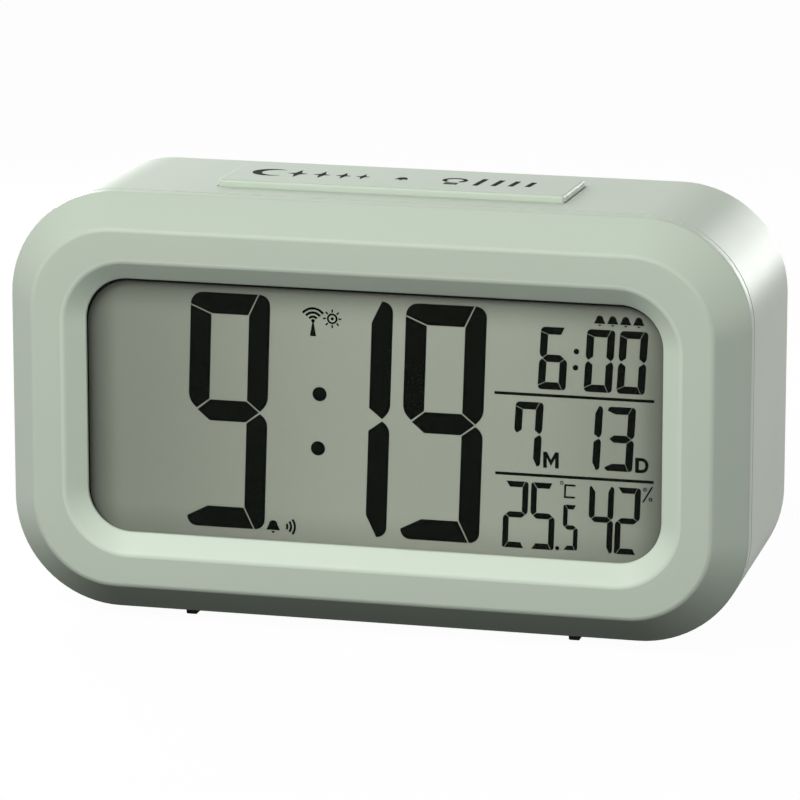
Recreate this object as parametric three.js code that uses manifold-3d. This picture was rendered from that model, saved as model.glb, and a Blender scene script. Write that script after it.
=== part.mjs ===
// A radio-controlled alarm clock for a bedside table: a deep moulded case with a wide chamfered
// bezel, one large liquid crystal display, a snooze bar along the top, six setting buttons and an
// alarm switch at the back, and a battery bay for three small cells behind a door.
// Millimetres. X runs to the right seen from the front, Y from the front to the back, Z up.
// Every piece is drawn from the middle of the bezel's front face: x, depth behind it, height.

import * as THREE from 'three';
import { mergeVertices } from 'three/addons/utils/BufferGeometryUtils.js';
import Module from 'manifold-3d';

// Case
const WIDTH = 134.2;
const HEIGHT = 76.2;
const DEPTH = 46.5;
const CORNER_RADIUS = 19.5;
const WALL = 2.2;
const SEAM = 0.35;
const GAP = 0.3;
const SEAT = 0.05;

// Draft of the rear housing, from its front rim to the back. Its base is level.
const SIDE_DRAFT = 0.45;
const TOP_DRAFT = 1.2;
const REAR_EDGE_RADIUS = 1.8;

// Bezel, from its outline inwards
const CHAMFER_WIDTH = 5.6;
const CHAMFER_DEPTH = 6.4;
const CHAMFER_EDGE = 0.5;
const FACE_WIDTH = 5.8;
const FACE_RADIUS = 14.9;
const RECESS_WIDTH = 3.5;
const RECESS_DEPTH = 2.8;
const RECESS_RADIUS = 11.6;
const WINDOW_RADIUS = 7.8;
const BEZEL_RIM = 2.35;
const LIP = 0.5;

// Display stack, front to back
const PANE_THICKNESS = 0.9;
const PANE_LEDGE = 1.8;
const PANE_TO_LCD = 0.25;
const LCD_THICKNESS = 2.2;
const LCD_MARGIN = 2.8;
const SEGMENT_RELIEF = 0.1;
const CARRIER_WALL = 2.2;
const GUIDE_THICKNESS = 3;
const LED_STRIP = 1.2;
const BOARD_THICKNESS = 1.6;
const RADIO_BOARD_WIDTH = 24;
const RADIO_BOARD_HEIGHT = 16;

// Snooze bar
const BAR_LENGTH = 63;
const BAR_BREADTH = 18;
const BAR_SETBACK = 16.4;
const BAR_PROUD = 1.3;
const BAR_BEVEL = 1;
const BAR_FLANGE = 1.5;
const BAR_TRAVEL = 0.8;
const BAR_POST_SPREAD = 44;
const SNOOZE_BOARD_BREADTH = 10;
const SNOOZE_PLUNGER = 1;
const RAIL_HALF = 2;
const RAIL_INSET = 2;
const RAIL_REACH = 6;
const RAIL_THICKNESS = 1.8;

// Batteries and their door
const CELL_RADIUS = 5.25;
const CELL_LENGTH = 44.5;
const CELL_PITCH = 11.2;
const CELL_COUNT = 3;
const CONTACT_ROOM = 4.25;
const BAY_WALL = 1.5;
const BAY_FROM_BASE = 8;
const DOOR_LEDGE = 1.5;
const DOOR_THICKNESS = 2;
const GRIP_HALF = 5;
const GRIP_DROP = 9;
const GRIP_PITCH = 1.6;
const GRIP_GROOVE = 0.35;

// Buttons and alarm switch at the back
const BUTTON_NAMES = ['set', 'mode', 'up', 'down', 'alarm', 'wave'];
const BUTTON_RADIUS = 3.3;
const BUTTON_PITCH = 13;
const BUTTON_PROUD = 0.9;
const BUTTON_TRAVEL = 0.6;
const BUTTON_FLANGE = 1.2;
const BUTTON_FLANGE_THICKNESS = 1;
const BUTTON_STEM = 1.2;
const BUTTON_PLUNGER = 0.5;
const BUTTON_SWITCH_BODY = 3.2;
const TACT_SWITCH_SIZE = 6;
const BUTTON_BOARD_HEIGHT = 11;
const BUTTON_BOARD_LEFT_END = 10.3;
const BUTTON_BOARD_RIGHT_END = 10;
const SWITCH_OFFSET = 18.5;
const SWITCH_TRAVEL = 3;
const KNOB_WIDTH = 4.4;
const KNOB_HEIGHT = 3.2;
const SWITCH_BODY_MARGIN = 4.5;
const SWITCH_BODY_HEIGHT = 6;

// Feet
const FOOT_DROP = 1.85;
const FOOT_WIDTH = 2;
const FOOT_LENGTH = 6;
const FOOT_SPREAD = 70.6;
const FOOT_SETBACK = 10.2;
const FOOT_REAR_MARGIN = 4;
const FOOT_ROOT = 0.8;

// Screws
const CASE_SCREW_RADIUS = 1.3;
const SMALL_SCREW_RADIUS = 1;
const TOWER_RADIUS = 4.5;
const BOSS_RADIUS = 3;
const TOWER_FRONT = 13.3;
const TOWER_FLOOR = 2;
const CASE_SCREW_LENGTH = 9;

// Steps of an arc of a quarter turn, and sides of a round piece
const ARC_STEPS = 3;
const ROUND_SIDES = 16;

const wasm = await Module();
wasm.setup();

// Materials
const finish = (options) => new THREE.MeshStandardMaterial(options);
const plastic = (color, roughness = 0.5) => finish({ color, roughness, metalness: 0 });
const metal = (color, roughness = 0.35) => finish({ color, roughness, metalness: 1 });
const SAGE = plastic('#bccab8', 0.45);
const SAGE_DEEP = plastic('#a9b8a5', 0.45);
const CLEAR = finish({ color: '#eef2ef', roughness: 0.05, transparent: true, opacity: 0.25 });
const LCD_GREY = plastic('#9aa092', 0.3);
const WHITE_PLASTIC = plastic('#e6e6e0', 0.5);
const ACRYLIC = plastic('#dfe6e2', 0.15);
const BOARD_GREEN = plastic('#2f6b3c', 0.5);
const BLACK_PLASTIC = plastic('#1d1e1d', 0.4);
const RUBBER = plastic('#2b2c2a', 0.85);
const FERRITE = plastic('#3a3a3c', 0.6);
const COPPER = metal('#b8703e');
const STEEL = metal('#b9bcc0');
const NICKEL = metal('#cfd0cc', 0.3);
const CELL_WRAP = plastic('#3c6f78', 0.35);

// Solids

function solid(geometry) {
  const bare = geometry.clone();
  bare.deleteAttribute('normal');
  bare.deleteAttribute('uv');
  const merged = mergeVertices(bare, 1e-4);
  return new wasm.Manifold(new wasm.Mesh({
    numProp: 3,
    vertProperties: new Float32Array(merged.attributes.position.array),
    triVerts: new Uint32Array(merged.index.array),
  }));
}

function geometryOf(manifold) {
  const mesh = manifold.getMesh();
  const geometry = new THREE.BufferGeometry();
  geometry.setAttribute('position', new THREE.BufferAttribute(mesh.vertProperties, 3));
  geometry.setIndex(new THREE.BufferAttribute(mesh.triVerts, 1));
  geometry.computeVertexNormals();
  return geometry;
}

// One body from the first geometry, the others joined to it.
function join(...geometries) {
  return geometryOf(geometries.map(solid).reduce((body, piece) => body.add(piece)));
}

// The first geometry without the others.
function cut(geometry, ...tools) {
  return geometryOf(tools.map(solid).reduce((body, tool) => body.subtract(tool), solid(geometry)));
}

// The part of the first geometry that lies inside the second.
function within(geometry, limit) {
  return geometryOf(solid(geometry).intersect(solid(limit)));
}

// Shapes

function roundedOutline({ left, right, bottom, top }, radius) {
  const shape = new THREE.Shape();
  shape.absarc(right - radius, top - radius, radius, 0, Math.PI / 2);
  shape.absarc(left + radius, top - radius, radius, Math.PI / 2, Math.PI);
  shape.absarc(left + radius, bottom + radius, radius, Math.PI, 1.5 * Math.PI);
  shape.absarc(right - radius, bottom + radius, radius, 1.5 * Math.PI, 2 * Math.PI);
  return shape;
}

function centredBox(width, height, x = 0, z = 0) {
  return { left: x - width / 2, right: x + width / 2, bottom: z - height / 2, top: z + height / 2 };
}

// A flat plate: an outline in X and Z, from one depth to another.
function plate(outline, front, back) {
  const geometry = new THREE.ExtrudeGeometry(outline, {
    depth: back - front, bevelEnabled: false, curveSegments: ARC_STEPS * 2,
  });
  return geometry.rotateX(Math.PI / 2).translate(0, back, 0);
}

// A body drawn through outlines at increasing depths, with a flat cap at each end.
function loft(sections) {
  const rings = sections.map(({ outline, depth }) => (
    outline.getPoints(ARC_STEPS).map((point) => [point.x, depth, point.y])));
  const count = rings[0].length;
  const positions = rings.flat();
  const frontCentre = positions.push([0, sections[0].depth, 0]) - 1;
  const backCentre = positions.push([0, sections.at(-1).depth, 0]) - 1;
  const triangles = [];
  const backRing = (rings.length - 1) * count;
  for (let i = 0; i < count; i += 1) {
    const next = (i + 1) % count;
    triangles.push(frontCentre, i, next, backCentre, backRing + next, backRing + i);
    for (let ring = 0; ring < backRing; ring += count) {
      triangles.push(ring + i, ring + count + i, ring + next);
      triangles.push(ring + next, ring + count + i, ring + count + next);
    }
  }
  const geometry = new THREE.BufferGeometry();
  geometry.setAttribute('position', new THREE.Float32BufferAttribute(positions.flat(), 3));
  geometry.setIndex(triangles);
  return geometry;
}

// A box between two corners: [x, depth, height] low and high.
function block(low, high) {
  const size = high.map((value, axis) => value - low[axis]);
  const middle = high.map((value, axis) => (value + low[axis]) / 2);
  return new THREE.BoxGeometry(...size).translate(...middle);
}

// A round bar along the depth.
function rod(radius, front, back, x = 0, z = 0, sides = ROUND_SIDES) {
  const bar = new THREE.CylinderGeometry(radius, radius, back - front, sides);
  return bar.translate(x, (front + back) / 2, z);
}

// Case outline at a depth, drawn in by a wall. The bezel is straight and the housing has its draft.
const housingFront = CHAMFER_DEPTH + BEZEL_RIM + SEAM;
const base = -HEIGHT / 2;

function caseOutline(depth, inset = 0) {
  const share = Math.max(0, (depth - housingFront) / (DEPTH - housingFront));
  const box = {
    left: -WIDTH / 2 + SIDE_DRAFT * share + inset,
    right: WIDTH / 2 - SIDE_DRAFT * share - inset,
    bottom: base + inset,
    top: HEIGHT / 2 - TOP_DRAFT * share - inset,
  };
  return roundedOutline(box, CORNER_RADIUS - inset);
}

const caseSection = (depth, inset) => ({ depth, outline: caseOutline(depth, inset) });
const draftAt = (depth) => (depth - housingFront) / (DEPTH - housingFront);
const topAt = (depth) => HEIGHT / 2 - TOP_DRAFT * draftAt(depth);

// Clock group, moved so that its feet stand on Z = 0 and its box is centred on X and Y
const restHeight = HEIGHT / 2 + FOOT_DROP;
const clock = new THREE.Group();
clock.name = 'radio_alarm_clock';
clock.position.set(0, -(DEPTH + BUTTON_PROUD) / 2, restHeight);

function add(name, geometry, material) {
  const mesh = new THREE.Mesh(geometry, material);
  mesh.name = name;
  clock.add(mesh);
  return mesh;
}

// Places that several pieces share
const faceInset = CHAMFER_WIDTH;
const recessInset = faceInset + FACE_WIDTH;
const windowInset = recessInset + RECESS_WIDTH;
const windowWidth = WIDTH - 2 * windowInset;
const windowHeight = HEIGHT - 2 * windowInset;
const ledgeDepth = RECESS_DEPTH + LIP;
const paneFront = ledgeDepth + SEAT;
const lcdFront = paneFront + PANE_THICKNESS + PANE_TO_LCD;
const lcdBack = lcdFront + LCD_THICKNESS;
const lcdWidth = windowWidth + 2 * LCD_MARGIN;
const lcdHeight = windowHeight + 2 * LCD_MARGIN;
const carrierWidth = lcdWidth + 2 * (CARRIER_WALL + GAP);
const carrierHeight = lcdHeight + 2 * (CARRIER_WALL + GAP);
const guideFront = lcdBack + SEAT;
const carrierBack = guideFront + GUIDE_THICKNESS + GAP;
const mainBoardFront = carrierBack + SEAT;
const mainBoardBack = mainBoardFront + BOARD_THICKNESS;
const rearInside = DEPTH - WALL;
const rimDepth = CHAMFER_DEPTH + BEZEL_RIM;
const bayLength = CELL_LENGTH + 2 * CONTACT_ROOM;
const bayHeight = CELL_COUNT * CELL_PITCH + 0.4;
const bayBottom = base + BAY_FROM_BASE;
const bayMiddle = bayBottom + bayHeight / 2;
const bayTop = bayBottom + bayHeight;
const doorFront = DEPTH - DOOR_THICKNESS;
const cellDepth = doorFront - GAP - 0.4 - CELL_RADIUS;
const bayFloor = cellDepth - CELL_RADIUS - 0.5;
const flangeHalf = BAR_LENGTH / 2 + BAR_FLANGE;
const screwX = Math.max(flangeHalf, bayLength / 2 + BAY_WALL) + TOWER_RADIUS + 2.5;
const screwZ = carrierHeight / 2 + GAP + BOSS_RADIUS;
const screwPlaces = [[-screwX, screwZ], [screwX, screwZ], [-screwX, -screwZ], [screwX, -screwZ]];
const earX = 20;
const earPlaces = [[-earX, screwZ], [earX, screwZ], [-earX, -screwZ], [earX, -screwZ]];
const earThickness = 2;
const earFront = carrierBack - earThickness;

// Front bezel: a chamfered frame round a sloping recess, hollow behind, with its bosses.
function frontBezel() {
  const outside = loft([
    { depth: 0, outline: insetFace(CHAMFER_EDGE) },
    { depth: CHAMFER_EDGE * 0.6, outline: insetFace(-CHAMFER_EDGE * 0.1) },
    caseSection(CHAMFER_DEPTH - CHAMFER_EDGE, CHAMFER_EDGE * 0.7),
    caseSection(CHAMFER_DEPTH + CHAMFER_EDGE * 0.4, 0),
    caseSection(rimDepth, 0),
  ]);
  const recess = loft([
    { depth: -1, outline: windowOutline(RECESS_WIDTH * (1 + 1 / RECESS_DEPTH), RECESS_RADIUS + 1) },
    { depth: RECESS_DEPTH, outline: windowOutline(0, WINDOW_RADIUS) },
    { depth: rimDepth + 1, outline: windowOutline(0, WINDOW_RADIUS) },
  ]);
  const paneSeat = plate(windowOutline(PANE_LEDGE, WINDOW_RADIUS + PANE_LEDGE), ledgeDepth, rimDepth + 1);
  const ringInset = faceInset + 0.6;
  const ringFront = 2.4;
  const ribOutline = windowOutline(PANE_LEDGE + 1.5, WINDOW_RADIUS + PANE_LEDGE);
  const paneRib = plate(ribOutline, ringFront - 1, lcdFront);
  const ring = cut(plate(caseOutline(0, ringInset), ringFront, lcdFront + SEAT), paneRib);
  const stackPocket = plate(caseOutline(0, ringInset), lcdFront, rimDepth + 1);
  const rimPocket = plate(caseOutline(0, 3), CHAMFER_DEPTH - 1.25, rimDepth + 1);
  const rebate = plate(caseOutline(0, 1.1), rimDepth - 2, rimDepth + 1);
  const shell = cut(outside, recess, paneSeat, ring, stackPocket, rimPocket, rebate);
  const bossFront = CHAMFER_DEPTH - 2;
  const bosses = screwPlaces.map(([x, z]) => rod(BOSS_RADIUS, bossFront, TOWER_FRONT - GAP, x, z));
  const earPosts = earPlaces.map(([x, z]) => rod(BOSS_RADIUS - 0.3, bossFront, earFront - SEAT, x, z));
  const bossHoles = screwPlaces.map(([x, z]) => (
    rod(CASE_SCREW_RADIUS + 0.1, bossFront + 1, TOWER_FRONT, x, z, 12)));
  const postHoles = earPlaces.map(([x, z]) => (
    rod(SMALL_SCREW_RADIUS + 0.1, bossFront + 0.6, earFront, x, z, 12)));
  return cut(join(shell, ...bosses, ...earPosts), ...bossHoles, ...postHoles);
}

function insetFace(inset) {
  const box = centredBox(WIDTH - 2 * (faceInset + inset), HEIGHT - 2 * (faceInset + inset));
  return roundedOutline(box, FACE_RADIUS - inset);
}

// The window's outline, grown by a margin.
function windowOutline(margin, radius) {
  return roundedOutline(centredBox(windowWidth + 2 * margin, windowHeight + 2 * margin), radius);
}

add('front_bezel', frontBezel(), SAGE);

// Clear pane behind the window
add('display_window', plate(
  windowOutline(PANE_LEDGE - GAP, WINDOW_RADIUS + PANE_LEDGE - GAP), paneFront, paneFront + PANE_THICKNESS,
), CLEAR);

// Liquid crystal glass. Each lit segment stands a hair proud of it.

// Which of the seven strokes each figure lights
const LIT = {
  0: 'abcdef',
  1: 'bc',
  2: 'abdeg',
  3: 'abcdg',
  4: 'bcfg',
  5: 'acdfg',
  6: 'acdefg',
  7: 'abcf',
  8: 'abcdefg',
  9: 'abcdfg',
};
const SLANT = 0.032;

// Outlines of the lit strokes of one figure. Each is mitred to its neighbours with a thin gap.
function figure(value, { width, height, stroke, gap }, x, z) {
  const outer = width / 2;
  const inner = outer - stroke;
  const half = height / 2;
  const hole = half - stroke;
  const middle = stroke / 2;
  const corner = stroke * 0.72;
  const strokes = {
    a: [[-outer, half - corner], [-inner, hole], [inner, hole], [inner + stroke * 0.3, half],
      [-outer + corner, half], [-outer + corner * 0.3, half - corner * 0.3]],
    b: [[inner, hole], [inner, middle], [inner + middle, 0], [outer, middle], [outer, half - corner],
      [outer - corner * 0.3, half - corner * 0.3], [inner + stroke * 0.3, half]],
    c: [[inner, -middle], [inner, -hole], [inner + middle, -half],
      [outer - corner * 0.3, corner * 0.3 - half], [outer, corner - half], [outer, -middle],
      [inner + middle, 0]],
    d: [[-inner, -hole], [-outer, corner - half], [-outer + corner * 0.3, corner * 0.3 - half],
      [-outer + corner, -half], [inner + middle, -half], [inner, -hole]],
    e: [[-inner, -hole], [-inner, -middle], [-inner - middle, 0], [-outer, -middle],
      [-outer, corner - half]],
    f: [[-inner, hole], [-outer, half - corner], [-outer, middle], [-inner - middle, 0], [-inner, middle]],
    g: [[-inner, middle], [-inner - middle, 0], [-inner, -middle], [inner, -middle],
      [inner + middle, 0], [inner, middle]],
  };
  return [...LIT[value]].map((name) => {
    const points = strokes[name].map(([px, pz]) => new THREE.Vector2(px, pz));
    return shrunk(points, gap / 2).map((point) => (
      new THREE.Vector2(x + point.x + SLANT * point.y, z + point.y)));
  });
}

// A convex outline, anticlockwise, with each side moved in by the same amount.
function shrunk(points, amount) {
  const ordered = THREE.ShapeUtils.isClockWise(points) ? [...points].reverse() : points;
  return ordered.map((point, i) => {
    const before = ordered[(i + ordered.length - 1) % ordered.length];
    const after = ordered[(i + 1) % ordered.length];
    const inward = (from, to) => new THREE.Vector2(from.y - to.y, to.x - from.x).normalize();
    const first = inward(before, point);
    const second = inward(point, after);
    const reach = amount / (1 + first.dot(second));
    return point.clone().addScaledVector(first.add(second), reach);
  });
}

const BIG_FIGURE = { width: 14.75, height: 43.1, stroke: 4.1, gap: 0.2 };
const DATE_FIGURE = { width: 4.9, height: 11.5, stroke: 1.35, gap: 0.25 };
const CLIMATE_FIGURE = { width: 4.3, height: 12.2, stroke: 1, gap: 0.22 };
const TENTHS_FIGURE = { width: 2.6, height: 8.3, stroke: 0.8, gap: 0.15 };
const TIME_Z = -0.2;
const ALARM_Z = 12.6;
const DATE_Z = -1.2;
const CLIMATE_Z = -15.9;
const READOUT = [
  ['9', BIG_FIGURE, -26.6, TIME_Z], ['1', BIG_FIGURE, -4.3, TIME_Z], ['9', BIG_FIGURE, 12.6, TIME_Z],
  ['6', DATE_FIGURE, 32.4, ALARM_Z], ['0', DATE_FIGURE, 40.6, ALARM_Z], ['0', DATE_FIGURE, 46.4, ALARM_Z],
  ['7', DATE_FIGURE, 27.9, DATE_Z], ['1', DATE_FIGURE, 38.65, DATE_Z], ['3', DATE_FIGURE, 44.35, DATE_Z],
  ['2', CLIMATE_FIGURE, 25.75, CLIMATE_Z], ['5', CLIMATE_FIGURE, 30.65, CLIMATE_Z],
  ['5', TENTHS_FIGURE, 35.65, CLIMATE_Z - 1.75],
  ['4', CLIMATE_FIGURE, 41.1, CLIMATE_Z], ['2', CLIMATE_FIGURE, 45.85, CLIMATE_Z],
];

// Round dots: [x, height, radius]
const DOTS = [
  [-9.8, 3.8, 1.3], [-10.1, -6.1, 1.3], [36.5, 14.1, 0.47], [36.4, 11.2, 0.47], [33.3, -21.5, 0.36],
];
const RULE_LEFT = 21.9;
const RULE_RIGHT = 50.4;
const RULE_HEIGHTS = [5.95, -8.55];
const RULE_THICKNESS = 0.36;

function lcdPanel() {
  const glass = block([-lcdWidth / 2, lcdFront, -lcdHeight / 2], [lcdWidth / 2, lcdBack, lcdHeight / 2]);
  const proud = (outline) => plate(outline, lcdFront - SEGMENT_RELIEF, lcdFront + LCD_THICKNESS / 4);
  const strokes = READOUT.flatMap(([value, size, x, z]) => figure(value, size, x, z));
  const dots = DOTS.map(([x, z, radius]) => new THREE.Shape().absarc(x, z, radius, 0, 2 * Math.PI));
  const rules = RULE_HEIGHTS.map((z) => {
    const corners = [[RULE_LEFT, -1], [RULE_RIGHT, -1], [RULE_RIGHT, 1], [RULE_LEFT, 1]];
    const half = RULE_THICKNESS / 2;
    return new THREE.Shape(corners.map(([x, side]) => new THREE.Vector2(x, z + side * half)));
  });
  const outlines = [...strokes.map((points) => new THREE.Shape(points)), ...dots, ...rules];
  return join(glass, ...outlines.map(proud));
}

add('lcd_panel', lcdPanel(), LCD_GREY);

// Carrier frame: holds the glass in front and the light guide behind, with four ears for its screws.
const connectorHeight = 2;
const connectorTop = -windowHeight / 2 - 0.7;
const connectorHalf = windowWidth / 2 - 4;
const boardScrewX = (windowWidth / 2 + carrierWidth / 2) / 2;

function displayCarrier() {
  const outline = roundedOutline(centredBox(carrierWidth, carrierHeight), 4);
  const body = plate(outline, lcdFront + 0.4, carrierBack);
  const ears = earPlaces.map(([x, z]) => {
    const reach = Math.sign(z) * (screwZ + BOSS_RADIUS - 0.4);
    return block([x - 4, earFront, Math.min(0, reach)], [x + 4, carrierBack, Math.max(0, reach)]);
  });
  const glassPocket = block(
    [-lcdWidth / 2 - GAP, 0, -lcdHeight / 2 - GAP], [lcdWidth / 2 + GAP, lcdBack, lcdHeight / 2 + GAP],
  );
  const opening = block(
    [-windowWidth / 2, 0, -windowHeight / 2], [windowWidth / 2, DEPTH, windowHeight / 2],
  );
  const connectorSlot = block(
    [-connectorHalf - GAP, 0, connectorTop - connectorHeight - GAP / 2],
    [connectorHalf + GAP, DEPTH, connectorTop + GAP / 2],
  );
  const earHoles = earPlaces.map(([x, z]) => rod(SMALL_SCREW_RADIUS + GAP, 0, DEPTH, x, z, 12));
  const boardHoles = [-1, 1].map((side) => (
    rod(SMALL_SCREW_RADIUS + 0.1, guideFront + 0.6, DEPTH, side * boardScrewX, 0, 12)));
  return cut(join(body, ...ears), glassPocket, opening, connectorSlot, ...earHoles, ...boardHoles);
}

add('display_carrier', displayCarrier(), WHITE_PLASTIC);

// Light guide with the strip of lamps at its right end
const guideRight = windowWidth / 2 - LED_STRIP - 2 * GAP;
add('light_guide', block(
  [-windowWidth / 2 + GAP, guideFront, -windowHeight / 2 + GAP],
  [guideRight, guideFront + GUIDE_THICKNESS, windowHeight / 2 - GAP],
), ACRYLIC);
add('backlight_board', block(
  [guideRight + GAP, guideFront, -windowHeight / 2 + 3],
  [guideRight + GAP + LED_STRIP, guideFront + GUIDE_THICKNESS, windowHeight / 2 - 3],
), WHITE_PLASTIC);

// Striped rubber connector from the glass to the main board
add('rubber_connector', block(
  [-connectorHalf, lcdBack + SEAT, connectorTop - connectorHeight],
  [connectorHalf, mainBoardFront - SEAT, connectorTop],
), RUBBER);

// Main board and what is soldered to its back
function mainBoard() {
  const outline = centredBox(carrierWidth, carrierHeight);
  const board = plate(roundedOutline(outline, 4), mainBoardFront, mainBoardBack);
  const holes = [-1, 1].map((side) => (
    rod(SMALL_SCREW_RADIUS + GAP, mainBoardFront - 1, mainBoardBack + 1, side * boardScrewX, 0, 12)));
  const earNotches = earPlaces.map(([x, z]) => (
    rod(SMALL_SCREW_RADIUS * 2 + 2 * GAP, mainBoardFront - 1, mainBoardBack + 1, x, z, 12)));
  return cut(board, ...holes, ...earNotches);
}

add('main_board', mainBoard(), BOARD_GREEN);

const chipRadius = 7;
const chipHeight = 2.2;
const chipDome = [[0, 0], [chipRadius, 0], [chipRadius * 0.93, chipHeight * 0.5],
  [chipRadius * 0.7, chipHeight * 0.85], [0, chipHeight]];
add('controller_chip', new THREE.LatheGeometry(
  chipDome.map(([r, h]) => new THREE.Vector2(r, h)), ROUND_SIDES,
).translate(-carrierWidth * 0.13, mainBoardBack + SEAT, carrierHeight * 0.07), BLACK_PLASTIC);

const crystalRadius = 1.5;
add('clock_crystal', new THREE.CylinderGeometry(crystalRadius, crystalRadius, crystalRadius * 4, 12)
  .rotateZ(Math.PI / 2).translate(2, mainBoardBack + SEAT + crystalRadius, 14), STEEL);

const radioFront = mainBoardBack + SEAT;
const radioBox = centredBox(
  RADIO_BOARD_WIDTH, RADIO_BOARD_HEIGHT, carrierWidth * 0.225, carrierHeight * 0.105,
);
const radioOutline = roundedOutline(radioBox, 0.5);
add('radio_board', plate(radioOutline, radioFront, radioFront + 1), BOARD_GREEN);

// Rear housing: a drafted shell with a tongue for the bezel, screw towers, the battery bay, the
// snooze opening, the button holes and the cradles and rails for what it carries.
const barBack = BAR_SETBACK + BAR_BREADTH;
const barMiddle = (BAR_SETBACK + barBack) / 2;
const rowZ = (bayTop + DOOR_LEDGE + screwZ - TOWER_RADIUS) / 2;
const buttonX = BUTTON_NAMES.map((_, i) => (i - (BUTTON_NAMES.length + 1) / 2) * BUTTON_PITCH);
const switchX = buttonX.at(-1) + SWITCH_OFFSET;
const boardEnds = [buttonX[0] - BUTTON_BOARD_LEFT_END, switchX + SWITCH_TRAVEL + BUTTON_BOARD_RIGHT_END];
const buttonBoardBack = rearInside - GAP - BUTTON_FLANGE_THICKNESS - BUTTON_STEM - BUTTON_TRAVEL - GAP
  - BUTTON_PLUNGER - BUTTON_SWITCH_BODY - SEAT;
const buttonBoardFront = buttonBoardBack - BOARD_THICKNESS;
const ferriteRadius = 4;
const ferriteLength = 60;
const ferriteDepth = (mainBoardBack + bayFloor - BAY_WALL) / 2;
const coilRadius = 6.2;
const ferriteZ = base + WALL + coilRadius + 1.2;
const cradleX = 22;
const sideX = (bayLength / 2 + BAY_WALL + WIDTH / 2 - WALL) / 2;
const soundZ = bayMiddle + 1.5;
const buzzerRadius = 8;
const buzzerThickness = 4;
const sensorWidth = 12;
const sensorHeight = 14;
const sensorDepth = 4.5;
const switchBoardTop = screwZ - TOWER_RADIUS - GAP;
const snoozeBoardThickness = 1.2;
const snoozeBoardHalf = screwX + 2;
const footPlaces = [
  ['front_left', -1, FOOT_SETBACK], ['front_right', 1, FOOT_SETBACK],
  ['rear_left', -1, DEPTH - FOOT_REAR_MARGIN - FOOT_LENGTH],
  ['rear_right', 1, DEPTH - FOOT_REAR_MARGIN - FOOT_LENGTH],
];
const footX = FOOT_SPREAD / 2;
const tabX = bayLength / 4;
const tabWidth = 6;
const tabReach = 2;
const doorBottom = bayBottom - DOOR_LEDGE;
const doorTop = bayTop + DOOR_LEDGE;
const notchRadius = 6;

function housingShell() {
  const rounding = [0, 30, 60, 90].map((angle) => {
    const turn = THREE.MathUtils.degToRad(angle);
    return caseSection(
      DEPTH - REAR_EDGE_RADIUS * (1 - Math.sin(turn)), REAR_EDGE_RADIUS * (1 - Math.cos(turn)),
    );
  });
  const outside = loft([caseSection(housingFront, 0), ...rounding]);
  const tongue = loft([caseSection(rimDepth - 2 + GAP, 1.4), caseSection(housingFront + 2, 1.4)]);
  const cavity = loft([
    caseSection(0, WALL), caseSection(housingFront, WALL), caseSection(rearInside, WALL),
  ]);
  return cut(join(outside, tongue), cavity);
}

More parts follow.
